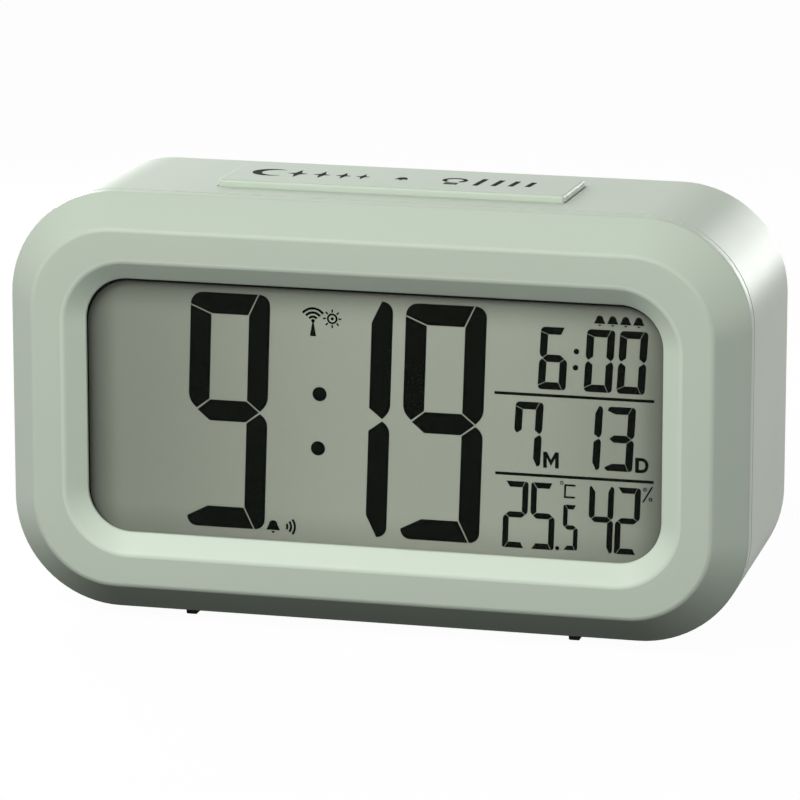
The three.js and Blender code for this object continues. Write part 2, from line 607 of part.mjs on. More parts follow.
function rearHousing() {
  const towers = screwPlaces.map(([x, z]) => rod(TOWER_RADIUS, TOWER_FRONT, DEPTH - WALL / 2, x, z));
  const screwHoles = screwPlaces.map(([x, z]) => rod(CASE_SCREW_RADIUS + GAP, 0, DEPTH, x, z, 12));
  const headHoles = screwPlaces.map(([x, z]) => (
    rod(CASE_SCREW_RADIUS * 2 + GAP, TOWER_FRONT + TOWER_FLOOR, DEPTH + 1, x, z)));
  const bayOutside = block(
    [-bayLength / 2 - BAY_WALL, bayFloor - BAY_WALL, bayBottom - BAY_WALL],
    [bayLength / 2 + BAY_WALL, DEPTH - WALL / 2, bayTop + BAY_WALL],
  );
  const bay = block([-bayLength / 2, bayFloor, bayBottom], [bayLength / 2, DEPTH + 1, bayTop]);
  const doorSeat = block(
    [-bayLength / 2 - DOOR_LEDGE, doorFront - GAP, doorBottom],
    [bayLength / 2 + DOOR_LEDGE, DEPTH + 1, doorTop],
  );
  const doorFrame = block(
    [-bayLength / 2 - DOOR_LEDGE - BAY_WALL, doorFront - GAP - BAY_WALL, doorBottom - BAY_WALL],
    [bayLength / 2 + DOOR_LEDGE + BAY_WALL, DEPTH - WALL / 2, doorTop + BAY_WALL],
  );
  const tabSlots = [-1, 1].map((side) => block(
    [side * tabX - tabWidth / 2 - GAP, DEPTH - 5, doorBottom - tabReach - 0.6],
    [side * tabX + tabWidth / 2 + GAP, DEPTH - WALL - 0.02, bayBottom + 0.5],
  ));
  const fingerNotch = rod(notchRadius, DEPTH - 1, DEPTH + 1, 0, doorTop);
  const barOpening = block(
    [-BAR_LENGTH / 2 - GAP, BAR_SETBACK - GAP, HEIGHT / 2 - 2 * WALL - TOP_DRAFT],
    [BAR_LENGTH / 2 + GAP, barBack + GAP, HEIGHT / 2 + 1],
  );
  const buttonHoles = buttonX.map((x) => rod(BUTTON_RADIUS + GAP, rearInside - 1, DEPTH + 1, x, rowZ));
  const switchSlot = block(
    [switchX - KNOB_WIDTH / 2 - GAP, rearInside - 1, rowZ - KNOB_HEIGHT / 2 - GAP],
    [switchX + SWITCH_TRAVEL + KNOB_WIDTH / 2 + GAP, DEPTH + 1, rowZ + KNOB_HEIGHT / 2 + GAP],
  );
  const boardPosts = [boardEnds[0] + 2.6, boardEnds[1] - 2.6].map((x) => (
    cut(
      rod(2.4, buttonBoardBack + SEAT, DEPTH - WALL / 2, x, rowZ),
      rod(SMALL_SCREW_RADIUS + 0.1, 0, rearInside, x, rowZ, 12),
    )));
  const cradles = [-1, 1].map((side) => cut(
    block(
      [side * cradleX - 1, ferriteDepth - ferriteRadius - 2, base + WALL / 2],
      [side * cradleX + 1, ferriteDepth + ferriteRadius + 2, ferriteZ],
    ),
    new THREE.CylinderGeometry(ferriteRadius + 0.15, ferriteRadius + 0.15, WIDTH, ROUND_SIDES)
      .rotateZ(Math.PI / 2).translate(0, ferriteDepth, ferriteZ),
  ));
  const railTop = switchBoardTop - snoozeBoardThickness - GAP;
  const rails = [-1, 1].map((side) => block(
    [side * (screwX - RAIL_INSET) - RAIL_HALF, barMiddle - RAIL_REACH, railTop - RAIL_THICKNESS],
    [side * (screwX - RAIL_INSET) + RAIL_HALF, DEPTH - WALL / 2, railTop],
  ));
  const buzzerRing = cut(
    rod(buzzerRadius + GAP + 1.2, rearInside - GAP - buzzerThickness, DEPTH - WALL / 2, sideX, soundZ),
    rod(buzzerRadius + GAP, 0, rearInside, sideX, soundZ),
  );
  const soundHoles = [[0, 0], ...[0, 1, 2, 3, 4, 5].map((i) => {
    const turn = (i * Math.PI) / 3;
    return [3.6 * Math.cos(turn), 3.6 * Math.sin(turn)];
  })].map(([x, z]) => rod(0.8, rearInside - 1, DEPTH + 1, sideX + x, soundZ + z, 8));
  const sensorRibs = [-1, 1].map((side) => {
    const ribX = -sideX + side * (sensorWidth / 2 + GAP + 0.6);
    return block(
      [ribX - 0.6, rearInside - GAP - sensorDepth, soundZ - sensorHeight / 2],
      [ribX + 0.6, DEPTH - WALL / 2, soundZ + sensorHeight / 2],
    );
  });
  const vents = [-1.5, -0.5, 0.5, 1.5].map((step) => block(
    [-sideX - 4.5, rearInside - 1, soundZ + step * 3 - 0.7],
    [-sideX + 4.5, DEPTH + 1, soundZ + step * 3 + 0.7],
  ));
  const footSeats = footPlaces.map(([, side, front]) => block(
    [side * footX - FOOT_WIDTH / 2 - 0.1, front - 0.1, -HEIGHT],
    [side * footX + FOOT_WIDTH / 2 + 0.1, front + FOOT_LENGTH + 0.1, base + FOOT_ROOT],
  ));
  const inside = loft([caseSection(rimDepth, 1), caseSection(DEPTH - 1, 1)]);
  const fittings = within(join(...rails, ...cradles), inside);
  const body = join(
    housingShell(), ...towers, bayOutside, doorFrame, ...boardPosts, fittings, buzzerRing, ...sensorRibs,
  );
  return cut(
    body, ...screwHoles, ...headHoles, bay, doorSeat, ...tabSlots, fingerNotch, barOpening,
    ...buttonHoles, switchSlot, ...soundHoles, ...vents, ...footSeats,
  );
}

add('rear_housing', rearHousing(), SAGE);

// Snooze bar: a bevelled cap that follows the slope of the top, with a flange that holds it in and
// two posts that press the switches under it.
const barPostLength = 7;

// Leans a piece drawn flat onto the slope of the housing's top, its sides still upright.
function ontoTop(geometry) {
  const slope = TOP_DRAFT / (DEPTH - housingFront);
  const lean = new THREE.Matrix4().set(
    1, 0, 0, 0,
    0, 1, 0, 0,
    0, -slope, 1, HEIGHT / 2 + slope * housingFront,
    0, 0, 0, 1,
  );
  return geometry.applyMatrix4(lean);
}

function snoozeBar() {
  const level = (inset, height) => ({
    outline: roundedOutline(centredBox(BAR_LENGTH - 2 * inset, BAR_BREADTH - 2 * inset), 0.6),
    depth: -height,
  });
  const cap = loft([
    level(BAR_BEVEL, BAR_PROUD), level(0, BAR_PROUD - BAR_BEVEL * 0.8), level(0, -WALL - GAP - 1),
  ]).rotateX(-Math.PI / 2).translate(0, barMiddle, 0);
  const flange = block(
    [-flangeHalf, BAR_SETBACK - BAR_FLANGE, -WALL - GAP - 1.5],
    [flangeHalf, barBack + BAR_FLANGE, -WALL - GAP],
  );
  const posts = [-1, 1].map((side) => (
    new THREE.CylinderGeometry(2, 2, barPostLength - 3, 16)
      .translate(0, 0, 0).rotateX(Math.PI / 2)
      .translate((side * BAR_POST_SPREAD) / 2, barMiddle, -(barPostLength + 3) / 2)));
  return ontoTop(join(cap, flange, ...posts));
}

add('snooze_bar', snoozeBar(), SAGE);

// Snooze switches on their own narrow board, on rails under the screw towers
add('snooze_board', block(
  [-snoozeBoardHalf, barMiddle - SNOOZE_BOARD_BREADTH / 2, switchBoardTop - snoozeBoardThickness],
  [snoozeBoardHalf, barMiddle + SNOOZE_BOARD_BREADTH / 2, switchBoardTop],
), BOARD_GREEN);

const postTip = topAt(barMiddle + 2) - barPostLength;

function tactSwitch(size, height, plunger) {
  const can = new THREE.BoxGeometry(size, size, height - plunger).translate(0, 0, (height - plunger) / 2);
  const stem = new THREE.CylinderGeometry(size / 3.6, size / 3.6, plunger + 0.5, 12)
    .rotateX(Math.PI / 2).translate(0, 0, height - (plunger + 0.5) / 2);
  return join(can, stem);
}

['left', 'right'].forEach((name, i) => {
  const height = postTip - BAR_TRAVEL - 0.2 - switchBoardTop - SEAT;
  add(`snooze_switch_${name}`, tactSwitch(TACT_SWITCH_SIZE, height, SNOOZE_PLUNGER)
    .translate((i - 0.5) * BAR_POST_SPREAD, barMiddle, switchBoardTop + SEAT), BLACK_PLASTIC);
});

// Button board, its switches, and the caps that press them
function buttonBoard() {
  const board = block(
    [boardEnds[0], buttonBoardFront, rowZ - BUTTON_BOARD_HEIGHT / 2],
    [boardEnds[1], buttonBoardBack, rowZ + BUTTON_BOARD_HEIGHT / 2],
  );
  const holes = [boardEnds[0] + 2.6, boardEnds[1] - 2.6].map((x) => (
    rod(SMALL_SCREW_RADIUS + GAP, buttonBoardFront - 1, buttonBoardBack + 1, x, rowZ, 12)));
  return cut(board, ...holes);
}

add('button_board', buttonBoard(), BOARD_GREEN);

function buttonCap() {
  const profile = [
    [0, -BUTTON_PROUD], [BUTTON_RADIUS - 0.6, -BUTTON_PROUD], [BUTTON_RADIUS, -BUTTON_PROUD + 0.5],
    [BUTTON_RADIUS, WALL + GAP], [BUTTON_RADIUS + BUTTON_FLANGE, WALL + GAP],
    [BUTTON_RADIUS + BUTTON_FLANGE, WALL + GAP + BUTTON_FLANGE_THICKNESS],
    [1.5, WALL + GAP + BUTTON_FLANGE_THICKNESS], [1.5, WALL + GAP + BUTTON_FLANGE_THICKNESS + BUTTON_STEM],
    [0, WALL + GAP + BUTTON_FLANGE_THICKNESS + BUTTON_STEM],
  ];
  const points = profile.reverse().map(([r, depth]) => new THREE.Vector2(r, -depth));
  return new THREE.LatheGeometry(points, ROUND_SIDES);
}

BUTTON_NAMES.forEach((name, i) => {
  add(`${name}_button`, buttonCap().translate(buttonX[i], DEPTH, rowZ), SAGE_DEEP);
  add(`${name}_button_switch`, tactSwitch(TACT_SWITCH_SIZE, BUTTON_SWITCH_BODY + BUTTON_PLUNGER, BUTTON_PLUNGER)
    .rotateX(-Math.PI / 2).translate(buttonX[i], buttonBoardBack + SEAT, rowZ), BLACK_PLASTIC);
});

// Alarm switch: a knob that slides in its slot, over the switch body on the button board
function alarmKnob() {
  const knob = block([-KNOB_WIDTH / 2, rearInside - GAP - 0.2, -KNOB_HEIGHT / 2],
    [KNOB_WIDTH / 2, DEPTH + BUTTON_PROUD, KNOB_HEIGHT / 2]);
  const flange = block([-KNOB_WIDTH / 2 - 1, rearInside - GAP - 1, -KNOB_HEIGHT / 2 - 1.2],
    [KNOB_WIDTH / 2 + 1, rearInside - GAP, KNOB_HEIGHT / 2 + 1.2]);
  const groove = block([-0.5, DEPTH + BUTTON_PROUD - 0.4, -KNOB_HEIGHT],
    [0.5, DEPTH + BUTTON_PROUD + 1, KNOB_HEIGHT]);
  return cut(join(knob, flange), groove).translate(switchX, 0, rowZ);
}

add('alarm_switch_knob', alarmKnob(), BLACK_PLASTIC);
add('alarm_switch_body', block(
  [switchX - SWITCH_BODY_MARGIN, buttonBoardBack + SEAT, rowZ - SWITCH_BODY_HEIGHT / 2],
  [switchX + SWITCH_TRAVEL + SWITCH_BODY_MARGIN, rearInside - GAP - 1 - GAP, rowZ + SWITCH_BODY_HEIGHT / 2],
), STEEL);

// Battery door: a flat cover with two tabs that hook under the housing below it and a finger latch
function batteryDoor() {
  const half = bayLength / 2 + DOOR_LEDGE - GAP;
  const cover = block([-half, doorFront, doorBottom + GAP], [half, DEPTH, doorTop - GAP]);
  const tabs = [-1, 1].flatMap((side) => [
    block([side * tabX - tabWidth / 2, DEPTH - WALL - GAP - 1.1, doorBottom - tabReach],
      [side * tabX + tabWidth / 2, DEPTH - WALL - GAP, doorBottom + GAP + 1]),
    block([side * tabX - tabWidth / 2, DEPTH - WALL - GAP - 1.1, doorBottom + GAP],
      [side * tabX + tabWidth / 2, doorFront + 0.5, doorBottom + GAP + 1]),
  ]);
  const latchDip = rod(notchRadius - 1, DEPTH - 0.8, DEPTH + 1, 0, doorTop);
  const grips = [-1, 0, 1].map((step) => block(
    [-GRIP_HALF, DEPTH - 0.5, doorTop - GRIP_DROP + step * GRIP_PITCH - GRIP_GROOVE],
    [GRIP_HALF, DEPTH + 1, doorTop - GRIP_DROP + step * GRIP_PITCH + GRIP_GROOVE],
  ));
  return cut(join(cover, ...tabs), latchDip, ...grips);
}

add('battery_door', batteryDoor(), SAGE);

// Cells lie side by side, turned end for end in turn, with a nub at the positive end
function cell() {
  const end = CELL_LENGTH / 2;
  const profile = [
    [0, -end], [CELL_RADIUS, -end], [CELL_RADIUS, end - 1], [1.9, end - 1], [1.9, end], [0, end],
  ];
  return new THREE.LatheGeometry(profile.map(([r, h]) => new THREE.Vector2(r, h)), ROUND_SIDES);
}

const cellZ = (i) => bayBottom + 0.2 + (i + 0.5) * CELL_PITCH;
for (let i = 0; i < CELL_COUNT; i += 1) {
  const facing = i % 2 === 0 ? 1 : -1;
  const turned = cell().rotateZ((-facing * Math.PI) / 2);
  add(`battery_${i + 1}`, turned.translate(0, cellDepth, cellZ(i)), CELL_WRAP);
}

// Contacts: flat plates at the positive ends and cone springs at the negative ends
const contactThickness = 0.5;
const contactHalf = 4.2;
const contactFace = bayLength / 2 - SEAT;

function contactSpring(side, z) {
  const length = contactFace - contactThickness - CELL_LENGTH / 2 - GAP;
  return new THREE.CylinderGeometry(2.2, 3.8, length + 0.2, 16)
    .rotateZ((side * Math.PI) / 2)
    .translate(side * (CELL_LENGTH / 2 + GAP + (length + 0.2) / 2), cellDepth, z);
}

function contactStop(side, z) {
  const tip = CELL_LENGTH / 2 + GAP;
  const low = Math.min(side * tip, side * contactFace);
  const high = Math.max(side * tip, side * contactFace);
  return block([low, cellDepth - 2, z - 2], [high, cellDepth + 2, z + 2]);
}

function contactPlate(side, first, last) {
  const inner = side * (contactFace - contactThickness);
  const outer = side * contactFace;
  return block(
    [Math.min(inner, outer), cellDepth - contactHalf, cellZ(first) - contactHalf],
    [Math.max(inner, outer), cellDepth + contactHalf, cellZ(last) + contactHalf],
  );
}

const last = CELL_COUNT - 1;
const lastSide = last % 2 === 0 ? -1 : 1;
add('contact_positive', join(contactPlate(1, 0, 0), contactStop(1, cellZ(0))), NICKEL);
for (let i = 0; i < last; i += 1) {
  const side = i % 2 === 0 ? -1 : 1;
  add(`contact_link_${i + 1}`, join(
    contactPlate(side, i, i + 1), contactSpring(side, cellZ(i)), contactStop(side, cellZ(i + 1)),
  ), NICKEL);
}
const lastPlate = contactPlate(lastSide, last, last);
add('contact_negative', join(lastPlate, contactSpring(lastSide, cellZ(last))), NICKEL);

// Radio aerial: a ferrite rod in its cradles with the coil round its middle
add('ferrite_rod', new THREE.CylinderGeometry(ferriteRadius, ferriteRadius, ferriteLength, ROUND_SIDES)
  .rotateZ(Math.PI / 2).translate(0, ferriteDepth, ferriteZ), FERRITE);

function aerialCoil() {
  const bore = ferriteRadius + 0.15;
  const half = 10;
  const flange = coilRadius;
  const profile = [
    [bore, -half], [flange, -half], [flange, -half + 1.2], [coilRadius - 0.7, -half + 1.2],
    [coilRadius - 0.7, half - 1.2], [flange, half - 1.2], [flange, half], [bore, half], [bore, -half],
  ];
  return new THREE.LatheGeometry(profile.map(([r, h]) => new THREE.Vector2(r, h)), ROUND_SIDES)
    .rotateZ(Math.PI / 2).translate(0, ferriteDepth, ferriteZ);
}

add('aerial_coil', aerialCoil(), COPPER);

// Sounder behind its holes and climate sensor behind its vents
const buzzerBack = rearInside - GAP;
add('buzzer', rod(buzzerRadius, buzzerBack - buzzerThickness, buzzerBack, sideX, soundZ), BLACK_PLASTIC);
add('climate_sensor', block(
  [-sideX - sensorWidth / 2, rearInside - GAP - sensorDepth, soundZ - sensorHeight / 2],
  [-sideX + sensorWidth / 2, rearInside - GAP, soundZ + sensorHeight / 2],
), WHITE_PLASTIC);

// Feet, each pressed into its seat under the housing, all standing in one plane
footPlaces.forEach(([name, side, front]) => {
  const top = base + FOOT_ROOT - 0.1;
  const bottom = -restHeight;
  const outline = roundedOutline({
    left: side * footX - FOOT_WIDTH / 2, right: side * footX + FOOT_WIDTH / 2,
    bottom: front, top: front + FOOT_LENGTH,
  }, 0.5);
  const foot = new THREE.ExtrudeGeometry(outline, {
    depth: top - bottom, bevelEnabled: false, curveSegments: 3,
  });
  add(`foot_${name}`, foot.translate(0, 0, bottom), RUBBER);
});

// Screws: a slotted pan head and a plain shank, driven towards the front
function screw(radius, length) {
  const head = radius * 2;
  const headHeight = radius * 1.3;
  const profile = [
    [0, -length], [radius, -length + radius], [radius, 0], [head, 0], [head * 0.96, headHeight * 0.6],
    [head * 0.6, headHeight], [0, headHeight],
  ];
  const body = new THREE.LatheGeometry(profile.map(([r, h]) => new THREE.Vector2(r, h)), 12);
  return cut(body, new THREE.BoxGeometry(head * 1.4, headHeight, radius * 0.4).translate(0, headHeight, 0));
}

const corners = ['upper_left', 'upper_right', 'lower_left', 'lower_right'];
screwPlaces.forEach(([x, z], i) => {
  const driven = screw(CASE_SCREW_RADIUS, CASE_SCREW_LENGTH).translate(x, TOWER_FRONT + TOWER_FLOOR + SEAT, z);
  add(`case_screw_${corners[i]}`, driven, STEEL);
});
earPlaces.forEach(([x, z], i) => {
  const driven = screw(SMALL_SCREW_RADIUS, 4).translate(x, carrierBack + SEAT, z);
  add(`carrier_screw_${corners[i]}`, driven, STEEL);
});
[-1, 1].forEach((side, i) => {
  const place = [side * boardScrewX, mainBoardBack + SEAT, 0];
  add(`main_board_screw_${['left', 'right'][i]}`, screw(SMALL_SCREW_RADIUS, 4).translate(...place), STEEL);
});
[boardEnds[0] + 2.6, boardEnds[1] - 2.6].forEach((x, i) => {
  const driven = screw(SMALL_SCREW_RADIUS, 5).rotateX(Math.PI).translate(x, buttonBoardFront - SEAT, rowZ);
  add(`button_board_screw_${['left', 'right'][i]}`, driven, STEEL);
});

export default clock;
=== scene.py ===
"""A radio-controlled alarm clock with a large liquid crystal display, in metres, feet on Z = 0."""

import math

import bmesh
import bpy
from mathutils import Matrix, Vector


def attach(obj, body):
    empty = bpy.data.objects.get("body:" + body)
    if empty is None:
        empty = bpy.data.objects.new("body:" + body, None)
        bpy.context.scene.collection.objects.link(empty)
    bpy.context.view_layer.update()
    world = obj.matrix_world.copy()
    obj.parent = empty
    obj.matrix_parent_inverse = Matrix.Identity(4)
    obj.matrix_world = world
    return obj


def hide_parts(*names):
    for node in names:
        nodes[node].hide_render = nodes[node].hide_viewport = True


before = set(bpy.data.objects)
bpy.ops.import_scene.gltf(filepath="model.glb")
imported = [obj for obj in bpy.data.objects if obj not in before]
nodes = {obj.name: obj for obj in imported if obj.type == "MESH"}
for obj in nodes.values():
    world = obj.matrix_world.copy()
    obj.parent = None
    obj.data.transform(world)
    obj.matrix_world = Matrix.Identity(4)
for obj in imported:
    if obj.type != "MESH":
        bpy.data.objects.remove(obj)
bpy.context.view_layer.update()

# Front bezel. One injection moulding in pale sage ABS with a fine spark-eroded satin. A chamfer, a flat
# face and a slope frame the display, and it meets the rear housing on a tongue, held by four screws.
MM = 0.001
FRONT = -23.7
MIDDLE = 39.95
WIDTH = 134.2
HEIGHT = 76.2
CORNER_STEPS = 20
CHAMFER = (5.6, 6.4)
FACE = 5.8
SLOPE = (3.5, 2.8)
CORNER_RADII = {"case": 19.5, "chamfer": 14.9, "face": 11.6, "window": 7.8}
RIM_DEPTH = 8.75
WINDOW_INSET = CHAMFER[0] + FACE + SLOPE[0]
FACE_RAISE = 0.01
# The inside of the bezel, from the rim to the window's lip: inset from the outline, depth, corner radius.
BEZEL_INSIDE = (
    ("rim_inside", 1.1, RIM_DEPTH, 18.4), ("rebate", 1.1, 6.75, 18.4), ("rebate_inside", 3.0, 6.75, 16.5),
    ("pocket", 3.0, 5.15, 16.5), ("pocket_inside", 6.2, 5.15, 13.3), ("back", 6.2, 2.4, 13.3),
    ("pane_rib", 11.6, 2.4, 9.6), ("pane_rib_end", 11.6, 4.5, 9.6), ("pane_seat_end", 13.1, 4.5, 9.6),
    ("pane_seat", 13.1, 3.3, 9.6), ("lip", WINDOW_INSET, 3.3, 7.8),
)
EDGE_ROUNDINGS = (
    ("shoulder", 0.3, 3), ("face", 0.6, 3), ("slope", 0.5, 3), ("window", 0.2, 2), ("rim", 0.15, 2),
)
SCREW_X, SCREW_Z = 40.0, 31.8
EAR_X = 20.0
BOSS_FRONT = 4.4
CREASE = math.radians(32)
FACING_FRONT = Matrix.Rotation(math.radians(90), 4, "X")
FACING_BACK = Matrix.Rotation(math.radians(-90), 4, "X")


def srgb(red, green, blue):
    """A colour read as 8-bit sRGB, for a shader's socket."""
    def linear(value):
        share = value / 255
        return share / 12.92 if share <= 0.04045 else ((share + 0.055) / 1.055) ** 2.4
    return (linear(red), linear(green), linear(blue), 1.0)


def rounded_loop(bm, width, height, radius, depth, rise=0.0):
    """A rounded rectangle that faces the front, as one face."""
    known = set(bm.faces)
    corners = bmesh.ops.create_grid(bm, x_segments=1, y_segments=1, size=0.5)["verts"]
    bmesh.ops.scale(bm, vec=(width, height, 1.0), verts=corners)
    bmesh.ops.bevel(
        bm, geom=corners, offset=radius, segments=CORNER_STEPS, profile=0.5, affect="VERTICES", material=-1
    )
    face = next(f for f in bm.faces if f not in known)
    stand = Matrix.Translation((0.0, FRONT + depth, MIDDLE + rise)) @ FACING_FRONT
    bmesh.ops.transform(bm, matrix=stand, verts=face.verts)
    return face


def opened(bm, face):
    """The points round a face, once the face is taken out."""
    points = list(face.verts)
    bmesh.ops.delete(bm, geom=[face], context="FACES_ONLY")
    return points


def skin(bm, loops, closed=False):
    """Walls from each loop of points to the next, which starts at the same corner."""
    pairs = list(zip(loops, loops[1:]))
    if closed:
        pairs.append((loops[-1], loops[0]))
    for first, second in pairs:
        for i in range(len(first)):
            bm.faces.new((first[i - 1], first[i], second[i], second[i - 1]))
    bmesh.ops.recalc_face_normals(bm, faces=bm.faces)


def around(bm, loop):
    """The edges along a loop of points."""
    return [bm.edges.get((loop[i - 1], loop[i])) for i in range(len(loop))]


def soften(bm, edges, width, steps=3):
    """A small rounding along sharp edges."""
    bmesh.ops.bevel(
        bm, geom=edges, offset=width, segments=steps, profile=0.5, affect="EDGES", material=-1,
        clamp_overlap=True,
    )


def piece(name, bm, body, material, stands_for=()):
    """Turns a bmesh drawn in millimetres into a piece of the clock."""
    bmesh.ops.recalc_face_normals(bm, faces=bm.faces)
    bmesh.ops.scale(bm, vec=(MM, MM, MM), verts=bm.verts)
    mesh = bpy.data.meshes.new(name)
    bm.to_mesh(mesh)
    bm.free()
    for polygon in mesh.polygons:
        polygon.use_smooth = True
    mesh.set_sharp_from_angle(angle=CREASE)
    obj = bpy.data.objects.new(name, mesh)
    bpy.context.scene.collection.objects.link(obj)
    mesh.materials.append(material)
    weighted = obj.modifiers.new("even shading", "WEIGHTED_NORMAL")
    weighted.keep_sharp = True
    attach(obj, body)
    if stands_for:
        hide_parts(*stands_for)
    return obj


def ranged(tree, source, to_min, to_max, from_min=0.0, from_max=1.0, curve="LINEAR"):
    """A value of a shader, moved from one range to another."""
    span = tree.nodes.new("ShaderNodeMapRange")
    span.interpolation_type = curve
    span.inputs["From Min"].default_value = from_min
    span.inputs["From Max"].default_value = from_max
    span.inputs["To Min"].default_value = to_min
    span.inputs["To Max"].default_value = to_max
    tree.links.new(source, span.inputs["Value"])
    return span.outputs["Result"]


def combined(tree, operation, first, second):
    """Two values of a shader, made into one."""
    both = tree.nodes.new("ShaderNodeMath")
    both.operation = operation
    tree.links.new(first, both.inputs[0])
    tree.links.new(second, both.inputs[1])
    return both.outputs["Value"]


def moulded(name, tone, other_tone, patch, roughness, roughness_spread, grain, relief, **sockets):
    """A moulded or coated surface: two close tones in soft patches, and a fine grain. Sizes in mm."""
    material = bpy.data.materials.new(name)
    material.use_nodes = True
    tree = material.node_tree
    shader = tree.nodes["Principled BSDF"]
    coords = tree.nodes.new("ShaderNodeTexCoord")
    patches = tree.nodes.new("ShaderNodeTexNoise")
    patches.inputs["Scale"].default_value = 1 / (patch * MM)
    patches.inputs["Detail"].default_value = 3.0
    tree.links.new(coords.outputs["Object"], patches.inputs["Vector"])
    tones = tree.nodes.new("ShaderNodeMix")
    tones.data_type = "RGBA"
    tones.inputs["A"].default_value = tone
    tones.inputs["B"].default_value = other_tone
    tree.links.new(patches.outputs["Fac"], tones.inputs["Factor"])
    tree.links.new(tones.outputs["Result"], shader.inputs["Base Color"])
    gloss = ranged(tree, patches.outputs["Fac"], roughness - roughness_spread, roughness + roughness_spread)
    tree.links.new(gloss, shader.inputs["Roughness"])
    sparks = tree.nodes.new("ShaderNodeTexNoise")
    sparks.inputs["Scale"].default_value = 1 / (grain * MM)
    sparks.inputs["Detail"].default_value = 2.0
    tree.links.new(coords.outputs["Object"], sparks.inputs["Vector"])
    bump = tree.nodes.new("ShaderNodeBump")
    bump.inputs["Strength"].default_value = 0.5
    bump.inputs["Distance"].default_value = relief * MM
    tree.links.new(sparks.outputs["Fac"], bump.inputs["Height"])
    tree.links.new(bump.outputs["Normal"], shader.inputs["Normal"])
    for socket, value in sockets.items():
        shader.inputs[socket.replace("_", " ")].default_value = value
    return material


sage = moulded(
    "sage_satin_plastic", srgb(197, 209, 193), srgb(194, 206, 190), 30.0, 0.36, 0.03, 0.22, 0.012,
    Specular_IOR_Level=0.18,
)
# The window's slope takes a copy of the sage with a paler tone, painted light for the light the slope
# catches; it is also a little smoother.
painted_light_sage = moulded(
    "sage_painted_light_slope", srgb(210, 223, 206), srgb(207, 220, 203), 30.0, 0.3, 0.03, 0.22, 0.006,
    Specular_IOR_Level=0.18,
)


def case_loop(bm, inset, depth, radius):
    """The points of the bezel's outline, drawn in by an inset."""
    return opened(bm, rounded_loop(bm, WIDTH - 2 * inset, HEIGHT - 2 * inset, radius, depth))


def box(bm, low, high):
    """A block between two corners, given as x, depth behind the face, and height above its middle."""
    made = bmesh.ops.create_cube(bm, size=1.0)["verts"]
    size = [b - a for a, b in zip(low, high)]
    middle = [(a + b) / 2 for a, b in zip(low, high)]
    bmesh.ops.scale(bm, vec=size, verts=made)
    bmesh.ops.translate(bm, vec=(middle[0], FRONT + middle[1], MIDDLE + middle[2]), verts=made)


def drum(bm, radius, front, back, x, z, sides=48):
    """A round bar or hole along the depth."""
    centre = Matrix.Translation((x, FRONT + (front + back) / 2, MIDDLE + z))
    bmesh.ops.create_cone(
        bm, cap_ends=True, cap_tris=False, segments=sides, radius1=radius, radius2=radius, depth=back - front,
        matrix=centre @ FACING_BACK,
    )


def carve(bm, operation, tool):
    """Joins a tool to a solid, or takes it away, and returns the new solid."""
    made = []
    for name, source in (("solid", bm), ("tool", tool)):
        bmesh.ops.recalc_face_normals(source, faces=source.faces)
        mesh = bpy.data.meshes.new(name)
        source.to_mesh(mesh)
        source.free()
        made.append(bpy.data.objects.new(name, mesh))
        bpy.context.scene.collection.objects.link(made[-1])
    solid, blade = made
    boolean = solid.modifiers.new("carve", "BOOLEAN")
    boolean.operation = operation
    boolean.solver = "EXACT"
    boolean.use_self = True
    boolean.object = blade
    depsgraph = bpy.context.evaluated_depsgraph_get()
    result = bmesh.new()
    result.from_mesh(solid.evaluated_get(depsgraph).to_mesh())
    for obj in made:
        mesh = obj.data
        bpy.data.objects.remove(obj)
        bpy.data.meshes.remove(mesh)
    bmesh.ops.remove_doubles(result, verts=result.verts, dist=0.002)
    return result


bm = bmesh.new()
loops = {
    "window": case_loop(bm, WINDOW_INSET, SLOPE[1], CORNER_RADII["window"]),
    "slope": case_loop(bm, CHAMFER[0] + FACE, FACE_RAISE, CORNER_RADII["face"]),
    "face": case_loop(bm, CHAMFER[0], FACE_RAISE, CORNER_RADII["chamfer"]),
    "shoulder": case_loop(bm, 0.0, CHAMFER[1], CORNER_RADII["case"]),
    "rim": case_loop(bm, 0.0, RIM_DEPTH, CORNER_RADII["case"]),
}
for name, inset, depth, radius in BEZEL_INSIDE:
    loops[name] = case_loop(bm, inset, depth, radius)
skin(bm, list(loops.values()), closed=True)
rounded = {name: around(bm, loops[name]) for name, _, _ in EDGE_ROUNDINGS}
for name, width, steps in EDGE_ROUNDINGS:
    soften(bm, rounded[name], width, steps)
for x, radius, back in ((-SCREW_X, 3.0, 13.0), (SCREW_X, 3.0, 13.0), (-EAR_X, 2.7, 8.0), (EAR_X, 2.7, 8.0)):
    for z in (-SCREW_Z, SCREW_Z):
        drum(bm, radius, BOSS_FRONT, back, x, z, sides=32)
bezel = piece("bezel", bm, "case", sage, ["front_bezel"])
# Painted light: the slope's faces round the window take the paler copy of the sage.
bezel.data.materials.append(painted_light_sage)
for polygon in bezel.data.polygons:
    centre, normal = polygon.center / MM, polygon.normal
    inwards = centre.x * normal.x + (centre.z - MIDDLE) * normal.z < -1.0
    if inwards and centre.y < FRONT + SLOPE[1] and normal.y < -0.2:
        polygon.material_index = 1

# Rear housing. The deep rear half of the case, moulded in the same sage ABS. It carries the screw towers,
# the battery bay with its door seat, the snooze opening, the button holes, the sound holes and the vents.
DEPTH = 46.5
HOUSING_FRONT = 9.1
SIDE_DRAFT = 0.45
TOP_DRAFT = 1.2
WALL = 2.2
TONGUE = {"inset": 1.4, "front": 7.05}
REAR_ROUNDING = 1.8
# How deep tools reach: within the rear wall, just inside it, and behind it.
IN_WALL = 45.4
INSIDE = 43.0
BEHIND = 48.0


